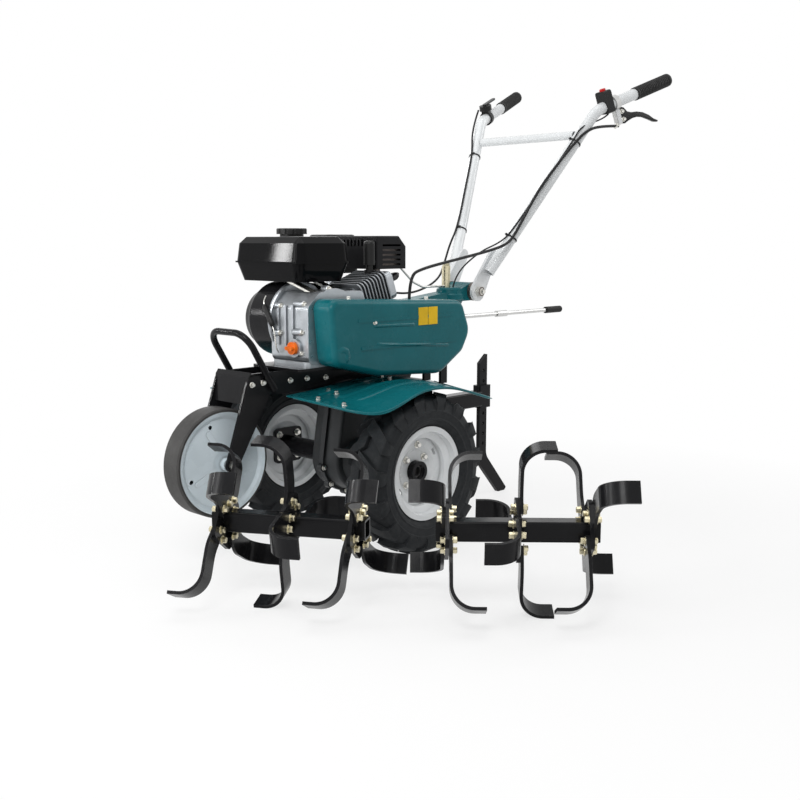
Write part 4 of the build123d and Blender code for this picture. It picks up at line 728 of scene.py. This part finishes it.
class TILLER_OT_cables(Operator):
    """Lays the clutch cable, the throttle cable and the switch wire"""

    bl_idname = "tiller.cables"
    bl_label = "Cables"

    def execute(self, context):
        outward = (Vector((0, 1, 0)) - ARM_WAY * ARM_WAY.y).normalized()
        rearward = (Vector((-1, 0, 0)) + ARM_WAY * ARM_WAY.x).normalized()

        def beside(side, rows):
            """Points beside an arm: share of the arm, then millimetres outward and rearward."""
            return [arm_point(share, side, outward * out + rearward * rear) for share, out, rear in rows]

        clutch = [
            hand_point(66, 1, HAND_DOWN * 66),
            *beside(1, (
                (0.94, 20, 22), (0.86, 18, -8), (0.80, 15, -15), (0.70, 14, -24), (0.48, 14, -36),
                (0.30, 15, -20), (0.21, 16, -14), (0.15, 22, -28),
            )),
            (-440, 104, 724), (-300, 94, 700), (-190, 92, 682), (-138, 92, 664), (-138, 92, 590),
        ]
        throttle = [
            hand_point(38, -1, Vector((10, 24, 26))),
            *beside(-1, (
                (0.92, 8, -24), (0.75, -6, -18), (0.55, -6, -20), (0.26, -4, -19), (0.15, 8, -24),
            )),
            (-490, -100, 690), (-440, -78, 640), (-330, -70, 606), (-230, -74, 612), (-130, -104, 640),
            (-92, -123, 642),
        ]
        wire = [
            hand_point(40, 1, HAND_DOWN * 22.5),
            hand_point(16, 1, HAND_DOWN * 30),
            *beside(1, (
                (0.88, 4, -22), (0.80, 4, -18.4), (0.55, 4, -19), (0.22, 2, -18.4), (0.15, -12, -22),
            )),
            (-480, 40, 722), (-408, 16, 664), (-400, 12, 625),
        ]
        runs = (("clutch_cable", clutch, 4.0), ("throttle_cable", throttle, 3.0), ("switch_wire", wire, 2.2))
        for name, points, radius in runs:
            mesh = tube_mesh(name, [at(*p) for p in points], radius * MM)
            obj = piece(name, mesh, "cable sheath", None, smooth=60)
            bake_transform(obj)
        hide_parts("upper_cables", "lower_cables")
        return {"FINISHED"}


class TILLER_OT_drive_tyres(Operator):
    """Builds the drive tyres with their lugs and sidewall rings"""

    bl_idname = "tiller.drive_tyres"
    bl_label = "Drive tyres"

    # Outer line of the carcass from the middle of the crown: across, radius, and the outward normal
    SHOULDER = (
        (-5, 187, 0, 1), (18, 186.2, 0.06, 1), (34, 183, 0.26, 0.96), (44, 177, 0.62, 0.78),
        (49, 168, 0.90, 0.44), (51.5, 154, 1.0, 0.0),
    )
    HEIGHTS = (12.6, 12.6, 12.0, 10.5, 5.0, 1.2)
    WIDTHS = (0.82, 0.92, 1.0, 1.05, 1.05, 0.98)
    LAST = len(SHOULDER) - 1
    CROWN = 190
    SINK = -3.0

    def execute(self, context):
        tread = context.scene.tiller_tread
        step = 2 * pi / tread.lugs
        for name, side in SIDES.items():
            bm = bmesh.new()
            middle = at(0, side * WHEEL_MIDDLE, AXLE_HEIGHT)
            self.carcass(bm, middle)
            for half in (1, -1):
                lug = self.lug(middle, half, tread)
                for k in range(tread.lugs):
                    before = len(bm.verts)
                    bm.from_mesh(lug)
                    bm.verts.ensure_lookup_table()
                    turn = Matrix.Rotation(step * (k + (0.5 if half == -1 else 0)), 3, "Y")
                    bmesh.ops.rotate(bm, cent=middle, matrix=turn, verts=bm.verts[before:])
                bpy.data.meshes.remove(lug)
            piece(f"{name}_tyre_tread", bm, "tyre rubber", "drive_axle", (f"{name}_tyre",), 32)
        return {"FINISHED"}

    @staticmethod
    def carcass(bm, middle):
        """Closed carcass spun about the axle."""
        outer = [
            (37, 104.5), (37.2, 116.5), (43, 121), (47, 126), (48.6, 128.5), (49.0, 130), (51.2, 131.5),
            (51.2, 134), (50.2, 136), (51.4, 143), (51.6, 150), (53.0, 151.5), (53.0, 154), (51.4, 156),
            (50, 165), (46, 175), (38, 181.5), (20, 186), (0, 187.2),
        ]
        inner = [(0, 178), (30, 175), (40, 165), (43, 148), (38, 126), (29, 116), (28, 104.5)]
        line = outer + [(-y, r) for y, r in outer[-2::-1]]
        back = [(-y, r) for y, r in inner[::-1]] + inner[1:]
        verts = [bm.verts.new(middle + Vector((0, y, r)) * MM) for y, r in line + back]
        ring = [bm.edges.new((a, b)) for a, b in zip(verts, verts[1:] + verts[:1])]
        spun(bm, verts, ring, 96, middle, (0, 1, 0))
        bmesh.ops.remove_doubles(bm, verts=bm.verts, dist=1e-6)
        bmesh.ops.recalc_face_normals(bm, faces=bm.faces)

    def lug(self, middle, half, tread):
        """Mesh of one lug at the top of the wheel, bent over the shoulder and down the sidewall."""
        bm = bmesh.new()
        bmesh.ops.create_cube(bm, size=1.0)
        along = [e for e in bm.edges if abs(e.verts[0].co.x - e.verts[1].co.x) > 0.5]
        bmesh.ops.subdivide_edges(bm, edges=along, cuts=self.LAST - 1, use_grid_fill=True)
        for v in bm.verts:
            row = round((v.co.x + 0.5) * self.LAST)
            across, radius, ny, nr = self.SHOULDER[row]
            tall, taper = (self.HEIGHTS[row], 0.90) if v.co.z > 0 else (self.SINK, 1.06)
            y = across + ny * tall
            r = radius + nr * tall
            half_turn = v.co.y * tread.width / MM * taper * self.WIDTHS[row] / self.CROWN
            turn = tread.slant * min(1, row / 3) + half_turn
            v.co = middle + Vector((sin(turn) * r, half * y, cos(turn) * r)) * MM
        rim = [e for e in bm.edges if e.is_manifold and e.calc_face_angle(0) > radians(40)]
        rounded(bm, rim, 1.6 * MM, 2)
        bmesh.ops.recalc_face_normals(bm, faces=bm.faces)
        return mesh_of("lug", bm)


class TILLER_OT_wheel_bolts(Operator):
    """Puts the bolts on the drive wheels"""

    bl_idname = "tiller.wheel_bolts"
    bl_label = "Wheel bolts"

    def execute(self, context):
        sizes = context.scene.tiller_fasteners
        places = []
        rings = (((90, 270), 66, 4, 1), ((45, 135, 225, 315), 44, -4, 1), ((45, 135, 225, 315), 44, -14, -1))
        for side in SIDES.values():
            for angles, radius, shift, way in rings:
                for angle in angles:
                    spot = circled(0, side * (WHEEL_MIDDLE + shift), AXLE_HEIGHT, radius, angle)
                    places.append((spot, (0, way * side, 0), sizes.medium))
        bolts("wheel_bolts", places, "drive_axle")
        return {"FINISHED"}


class TILLER_OT_frame_bolts(Operator):
    """Puts the bolts on fork, rails, fenders, engine bed and gearbox"""

    bl_idname = "tiller.frame_bolts"
    bl_label = "Frame bolts"

    # Bolts on fork and rails, on a fender, on the engine bed; middle of the input bearing in x and z
    RAILS = ((350, 62, 428), (318, 62, 430), (232, 56, 427), (180, 56, 427), (120, 56, 424))
    FENDER = ((217, 138), (199, 207), (150, 100), (-30, 100), (150, 128), (-30, 128))
    BED = ((203, 7), (203, 83), (41, 7), (41, 83))
    INPUT = (-172, 505)

    def execute(self, context):
        sizes = context.scene.tiller_fasteners
        places = []
        for name, side in SIDES.items():
            for x, y, z in self.RAILS:
                places.append((at(x, side * y, z), (0, side, 0), sizes.small))
            fender = surface(f"{name}_fender")
            for x, y in self.FENDER:
                places.append((*drop(fender, x, side * y), sizes.small))
        for x, y in self.BED:
            places.append((at(x, y, 472), (0, 0, 1), sizes.medium))
        bolts("frame_bolts", places)
        places = []
        rounds = ((0, AXLE_HEIGHT, 86, (-160, -125, -85, -45, -10)), (*self.INPUT, 80, (40, 74)))
        for x, z, reach, angles in rounds:
            for angle in angles:
                for side in SIDES.values():
                    places.append((circled(x, side * 7, z, reach, angle), (0, side, 0), sizes.small))
        x, z = self.INPUT
        for angle in range(30, 390, 60):
            places.append((circled(x, 59, z, 45, angle), (0, 1, 0), sizes.small))
        bolts("gearbox_bolts", places)
        return {"FINISHED"}


class TILLER_OT_engine(Operator):
    """Adds the engine's bosses, bolts, linkage, ignition lead and starter handle"""

    bl_idname = "tiller.engine"
    bl_label = "Engine details"

    # Bosses: x, z, and both ends in y; then the bolts of the starter and its handle
    BOSSES = (
        (214, 606, 58, 90), (221, 541, 58, 90), (219, 600, -8, 12), (223, 536, -8, 12), (150, 640, 84, 104),
        (221, 492, 60, 88),
    )
    BOSS_RADIUS = 8.5
    STARTER_FACE = -140.3
    STARTER_BOLTS = 56
    HANDLE = (CRANK[0] - 8, CRANK[1] + 34)

    def execute(self, context):
        sizes = context.scene.tiller_fasteners
        heads = []
        bm = bmesh.new()
        r = self.BOSS_RADIUS
        for x, z, y0, y1 in self.BOSSES:
            tall = y1 - y0
            outline = [(0, 0), (r * 0.9, 0), (r, r * 0.2), (r, tall - r * 0.15), (r * 0.85, tall), (0, tall)]
            turned(bm, outline, pointing(at(x, y0, z), (0, 1, 0)), 24)
            heads.append((at(x, y1, z), (0, 1, 0), sizes.small * 1.1))
        piece("crankcase_bosses", bm, "bare alloy")
        for angle in range(20, 380, 45):
            spot = circled(CRANK[0], self.STARTER_FACE, CRANK[1], self.STARTER_BOLTS, angle)
            heads.append((spot, (0, -1, 0), sizes.small))
        bolts("engine_bolts", heads)
        self.ring_and_stalk()
        self.linkage()
        self.ignition()
        self.starter_handle()
        return {"FINISHED"}

    @staticmethod
    def ring_and_stalk():
        """Bright joint ring beside the fan shroud, and the ribbed stalk under the muffler's post."""
        turned_piece(
            "shroud_ring", [(0, 0), (94, 0), (95.5, 2), (95.5, 7), (93, 10), (88, 11), (0, 11)],
            at(CRANK[0], -21.5, CRANK[1]), (0, 1, 0), 72, "bare alloy",
        )
        turned_piece(
            "post_stalk",
            [(0, 0), (9, 0), (9, 14), (12, 18), (12, 22), (10, 26), (10, 40), (13, 46), (13, 56), (0, 56)],
            at(-32, 55, 625), (0, 0, 1), 28, "black plastic",
        )

    @staticmethod
    def linkage():
        """Governor rod and its black spring sleeve in front of the crankcase."""
        top, bottom = at(237, -30, 602), at(237, 2, 550)
        points = [
            at(226, -36, 622), at(236, -33, 612), top, bottom, at(236, 8, 530), at(234, 9, 496),
            at(226, 9, 490),
        ]
        tube_piece("governor_rod", points, 1.5, "zinc plate")
        turned_piece(
            "governor_sleeve", [(0, 0), (3, 0), (6, 4), (7, 10), (7, 50), (6, 56), (3, 60), (0, 60)],
            top, bottom - top, 24, "black plastic",
        )

    @staticmethod
    def ignition():
        """Plug, boot and lead at the end of the cylinder head."""
        bore = Vector((-cos(CYLINDER_LEAN), 0, sin(CYLINDER_LEAN)))
        seat = at(CRANK[0], 44, CRANK[1]) + bore * 241 * MM
        turned_piece(
            "spark_plug", [(0, 0), (7, 0), (7, 3), (11, 3), (11, 12), (7, 14), (6, 20), (0, 20)],
            seat, bore, 6, "zinc plate",
        )
        turned_piece(
            "plug_boot", [(0, 0), (10, 0), (11, 4), (9.5, 10), (10, 34), (7, 42), (0, 44)],
            seat + bore * 18 * MM, bore, 24, "cable sheath",
        )
        top = seat + bore * 56 * MM
        points = [
            top, top + bore * 16 * MM, top + Vector((-12, -30, 4)) * MM, at(-110, -40, 640),
            at(-60, -76, 630), at(0, -84, 618), at(46, -78, 610),
        ]
        tube_piece("ignition_lead", points, 3.4, "cable sheath")

    def starter_handle(self):
        """Pull handle on the recoil starter."""
        x, z = self.HANDLE
        bm = bmesh.new()
        block(bm, at(x, -150, z), (0.030, 0.026, 0.086), round_by=0.42, segments=4)
        turned(bm, [(0, 0), (9, 0), (9, 8), (6, 14), (0, 14)], pointing(at(x, -138, z), (0, -1, 0)), 20)
        piece("starter_handle", bm, "black plastic")


class TILLER_OT_cover(Operator):
    """Adds the belt cover's screws, plain patches and beads, and the fenders' beads and rolled edges"""

    bl_idname = "tiller.cover"
    bl_label = "Cover and fenders"

    # Patches: middles in x and z, size in metres and how far they stand out; then the ends of the beads
    PATCHES = ((-104, 567), (-140, 567))
    PATCH_SIZE = (0.033, 0.044)
    PATCH_LIFT = 0.0012
    COVER_BEADS = (((70, 552), (-76, 548)), ((60, 508), (-205, 488)))
    FENDER_BEADS = ((104, -190, 190), (150, -170, 170), (196, -150, 150))
    BEAD_WIDTH = 9
    # Corners of a fender's rim in millimetres, from the rear inner one round the outside
    RIM = (
        (-236, 92), (-236, 200), (-236, 262), (-229, 286), (-214, 298), (-190, 302), (-120, 302), (-60, 302),
        (0, 302), (50, 302), (100, 302), (146, 302), (190, 294), (222, 270), (244, 236), (252, 196),
        (252, 140), (252, 92),
    )

    def execute(self, context):
        sizes = context.scene.tiller_fasteners
        places = [(at(65, 172, 560), (0, 1, 0), sizes.small * 0.8)]
        tree = surface("belt_cover")
        for x, y in ((108, 126), (-150, 140)):
            places.append((*drop(tree, x, y), sizes.small))
        bolts("cover_screws", places)
        bm = bmesh.new()
        for x, z in self.PATCHES:
            faces = [
                seen(tree, x + dx, z + dz)[0].y for dx in (-16, 0, 16) for dz in (-22, -11, 0, 11, 22)
            ]
            middle = at(x, 0, z)
            middle.y = (min(faces) + max(faces)) / 2
            thick = max(faces) - min(faces) + self.PATCH_LIFT
            block(bm, middle, (self.PATCH_SIZE[0], thick, self.PATCH_SIZE[1]), segments=1)
        piece("cover_patches", bm, "patch film")
        bm = bmesh.new()
        for (x0, z0), (x1, z1) in self.COVER_BEADS:
            bead(bm, 40, 8, 0.05, 2.6, lambda u, w, _: seen(
                tree, x0 + (x1 - x0) * u, z0 + (z1 - z0) * u + w * self.BEAD_WIDTH / 2
            ))
        piece("cover_beads", bm, "teal enamel", smooth=60)
        for name, side in SIDES.items():
            self.beads(name, side)
            self.rolled_edge(name, side)
        return {"FINISHED"}

    def rolled_edge(self, name, side):
        """Rolled rim round the outside of a fender."""
        tree = surface(f"{name}_fender")
        points = []
        for x, y in self.RIM:
            spot, normal = drop(tree, x, side * y)
            points.append(spot - normal * 1.0 * MM)
        tube_piece(f"{name}_fender_edge", points, 3.2, "teal enamel", 6)

    def beads(self, name, side):
        """Pressed beads along a fender."""
        tree = surface(f"{name}_fender")
        bm = bmesh.new()
        for y, x0, x1 in self.FENDER_BEADS:
            bead(bm, 48, 6, 0.03, 3.0, lambda u, w, end: drop(
                tree, x0 + (x1 - x0) * u,
                side * (y + w * self.BEAD_WIDTH * max(0.15, end) + 10 * sin(pi * u)),
            ))
        piece(f"{name}_fender_beads", bm, "teal enamel", smooth=60)


class TILLER_OT_handlebar(Operator):
    """Adds grips, cable ties, switch button, clutch lever with its plate, pivot caps and cable adjuster"""

    bl_idname = "tiller.handlebar"
    bl_label = "Handlebar details"

    # Switch and clamp by their distance behind the bend, ties by side and share of the arm, lever's outline
    SWITCH = 40
    CLAMP = 70
    TIES = ((1, 0.80), (1, 0.21), (-1, 0.75), (-1, 0.26))
    LEVER = (
        (9, 20), (20, 17), (29, 22), (38, 36), (52, 43), (74, 48), (96, 57), (116, 71), (132, 87), (147, 97),
        (144, 101), (130, 96), (112, 83), (92, 70), (72, 63), (52, 61), (34, 63), (20, 66), (9, 63),
    )

    def execute(self, context):
        sizes = context.scene.tiller_fasteners
        for name, side in SIDES.items():
            self.grip(name, side)
        self.ties()
        turned_piece(
            "switch_button", [(0, 0), (9, 0), (9, 4.5), (7.5, 6.5), (0, 7)],
            at(*hand_point(self.SWITCH, 1, HAND_DOWN * -44)), -HAND_DOWN, 28,
            "red plastic", "handlebar",
        )
        across = HAND_WAY.cross(HAND_DOWN).normalized()
        axes = Matrix((HAND_WAY, across, HAND_DOWN)).transposed().to_4x4()
        clamp = Matrix.Translation(at(*hand_point(self.CLAMP, 1))) @ axes
        bm = bmesh.new()
        block(bm, Vector((0, -0.009, 0.036)), (0.015, 0.0012, 0.046), clamp, 0.3, 1)
        piece("lever_plate", bm, "white film", "handlebar")
        self.lever(across)
        places = []
        for down in (30, 53):
            for way in (1, -1):
                spot = hand_point(self.CLAMP + 17, 1, HAND_DOWN * down + across * 5 * way)
                places.append((at(*spot), across * way, sizes.small))
        bolts("lever_screws", places, "handlebar")
        self.pivot(sizes)
        turned_piece(
            "cable_adjuster", [(0, 0), (6, 0), (6.5, 2), (6.5, 10), (5, 12), (5, 20), (4.4, 22), (0, 22)],
            at(*hand_point(self.CLAMP + 2, 1, HAND_DOWN * 58)), HAND_DOWN * 0.4 - HAND_WAY, 20,
            "zinc plate", "handlebar",
        )
        return {"FINISHED"}

    @staticmethod
    def grip(name, side):
        """Grip with ribs round it."""
        outline = [(0, 0), (18.6, 0), (18.9, 2)]
        for k in range(19):
            z = 8 + 6.4 * k
            rib = ((18.9, 0), (18.3, 1.0), (17.7, 1.8), (17.7, 2.6), (18.3, 3.4), (18.9, 4.4))
            outline += [(r, z + rise) for r, rise in rib]
        outline += [(18.9, 134), (18.6, 138), (17, 141), (13, 142), (0, 142)]
        base = at(*hand_point((ARM_END - ARM_BEND).length - 136, side))
        turned_piece(
            f"{name}_ribbed_grip", outline, base, mirrored(HAND_WAY, side), 40,
            "grip rubber", "handlebar", (f"{name}_grip",), 50,
        )

    @staticmethod
    def pivot(sizes):
        """Dark caps and bright nuts on both ends of the pivot bolt."""
        bm = bmesh.new()
        low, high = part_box("pivot_bolt")
        ends = []
        for end, way in ((high.y, 1), (low.y, -1)):
            place = at(PIVOT[0], 0, PIVOT[1])
            place.y = end
            outline = [(0, -0.3), (13, -0.3), (13, 0.7), (10, 1.0), (9.5, 0.2), (0, 0.2)]
            turned(bm, outline, pointing(place, (0, way, 0)), 32)
            ends.append((place + Vector((0, way * 0.2 * MM, 0)), (0, way, 0), sizes.medium))
        piece("pivot_caps", bm, "burnt steel")
        bolts("pivot_nuts", ends)

    def lever(self, across):
        """Clutch lever: broad root at the clamp, tapering to a thin tip."""
        bm = bmesh.new()
        line = [hand_point(self.CLAMP + x, 1, HAND_DOWN * y - across * 5) for x, y in self.LEVER]
        ring = [bm.verts.new(at(*point)) for point in line]
        made = bmesh.ops.extrude_face_region(bm, geom=[bm.faces.new(ring)])["geom"]
        top = [v for v in made if isinstance(v, bmesh.types.BMVert)]
        bmesh.ops.translate(bm, vec=across * 10 * MM, verts=top)
        bmesh.ops.recalc_face_normals(bm, faces=bm.faces)
        rim = [e for e in bm.edges if e.is_manifold and e.calc_face_angle(0) > radians(60)]
        rounded(bm, rim, 1.5 * MM, 3)
        piece("tapered_lever", bm, "black plastic", "handlebar", ("clutch_lever",), 50)

    def ties(self):
        """Black cable ties round the arms."""
        bm = bmesh.new()
        for side, share in self.TIES:
            place = pointing(at(*arm_point(share, side)), mirrored(ARM_WAY, side))
            outline = [(16.2, -2.2), (17.8, -2.2), (17.8, 2.2), (16.2, 2.2), (16.2, -2.2)]
            turned(bm, outline, place, 40)
            block(bm, Vector((0, 0.020, 0)), (0.007, 0.006, 0.006), place, 0.2, 1)
        piece("cable_ties", bm, "cable sheath", "handlebar")


class TILLER_OT_rotors(Operator):
    """Puts the bolts on the tine rotors"""

    bl_idname = "tiller.rotors"
    bl_label = "Rotor bolts"

    def execute(self, context):
        sizes = context.scene.tiller_fasteners
        up = Vector((0, 0, 1))
        for name, heading in ROTOR_HEADINGS.items():
            low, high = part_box(f"{name}_rotor_frame")
            along = Vector((cos(radians(heading)), sin(radians(heading)), 0))
            across = up.cross(along)
            places = []
            for row, turn in enumerate(FLANGE_TURNS):
                flange = (low + high) / 2 + along * ((row - 1) * FLANGE_SPACING * MM)
                for i in range(4):
                    angle = radians(90 * i + turn)
                    out = up * cos(angle) + across * sin(angle)
                    bend = UPRIGHT_BENDS[name][row] * (-1 if i % 2 else 1)
                    for reach, shift in ((37, 11), (45, -11)):
                        spot = flange + (out * reach + out.cross(along) * shift) * MM
                        places.append((spot + along * bend * 11 * MM, along * bend, sizes.medium))
                        places.append((spot - along * bend * 4 * MM, along * -bend, sizes.medium))
            bolts(f"{name}_rotor_bolts", places, f"{name}_rotor", "yellow zinc")
        return {"FINISHED"}


class TILLER_PT_panel(Panel):
    """Lists the tiller's operators and settings"""

    bl_idname = "TILLER_PT_panel"
    bl_label = "Power Tiller"
    bl_space_type = "VIEW_3D"
    bl_region_type = "UI"
    bl_category = "Tiller"

    def draw(self, context):
        layout, scene = self.layout, context.scene
        for operator in OPERATORS:
            layout.operator(operator.bl_idname)
        for group in (scene.tiller_colours, scene.tiller_tread, scene.tiller_fasteners, scene.tiller_stage):
            box = layout.box()
            for key in group.__annotations__:
                box.prop(group, key)


GROUPS = {
    "tiller_colours": TillerColours,
    "tiller_tread": TillerTread,
    "tiller_fasteners": TillerFasteners,
    "tiller_stage": TillerStage,
}
OPERATORS = (
    TILLER_OT_stage,
    TILLER_OT_finishes,
    TILLER_OT_cables,
    TILLER_OT_drive_tyres,
    TILLER_OT_wheel_bolts,
    TILLER_OT_frame_bolts,
    TILLER_OT_engine,
    TILLER_OT_cover,
    TILLER_OT_handlebar,
    TILLER_OT_rotors,
)
CLASSES = (*GROUPS.values(), *OPERATORS, TILLER_PT_panel)


def register():
    """Registers the groups, the operators and the panel."""
    for cls in CLASSES:
        bpy.utils.register_class(cls)
    for key, group in GROUPS.items():
        setattr(bpy.types.Scene, key, PointerProperty(type=group))


def unregister():
    """Removes what register added."""
    for key in GROUPS:
        delattr(bpy.types.Scene, key)
    for cls in reversed(CLASSES):
        bpy.utils.unregister_class(cls)


def main():
    """Runs every operator in order."""
    register()
    for operator in OPERATORS:
        group, name = operator.bl_idname.split(".")
        getattr(getattr(bpy.ops, group), name)()


if __name__ == "__main__":
    main()
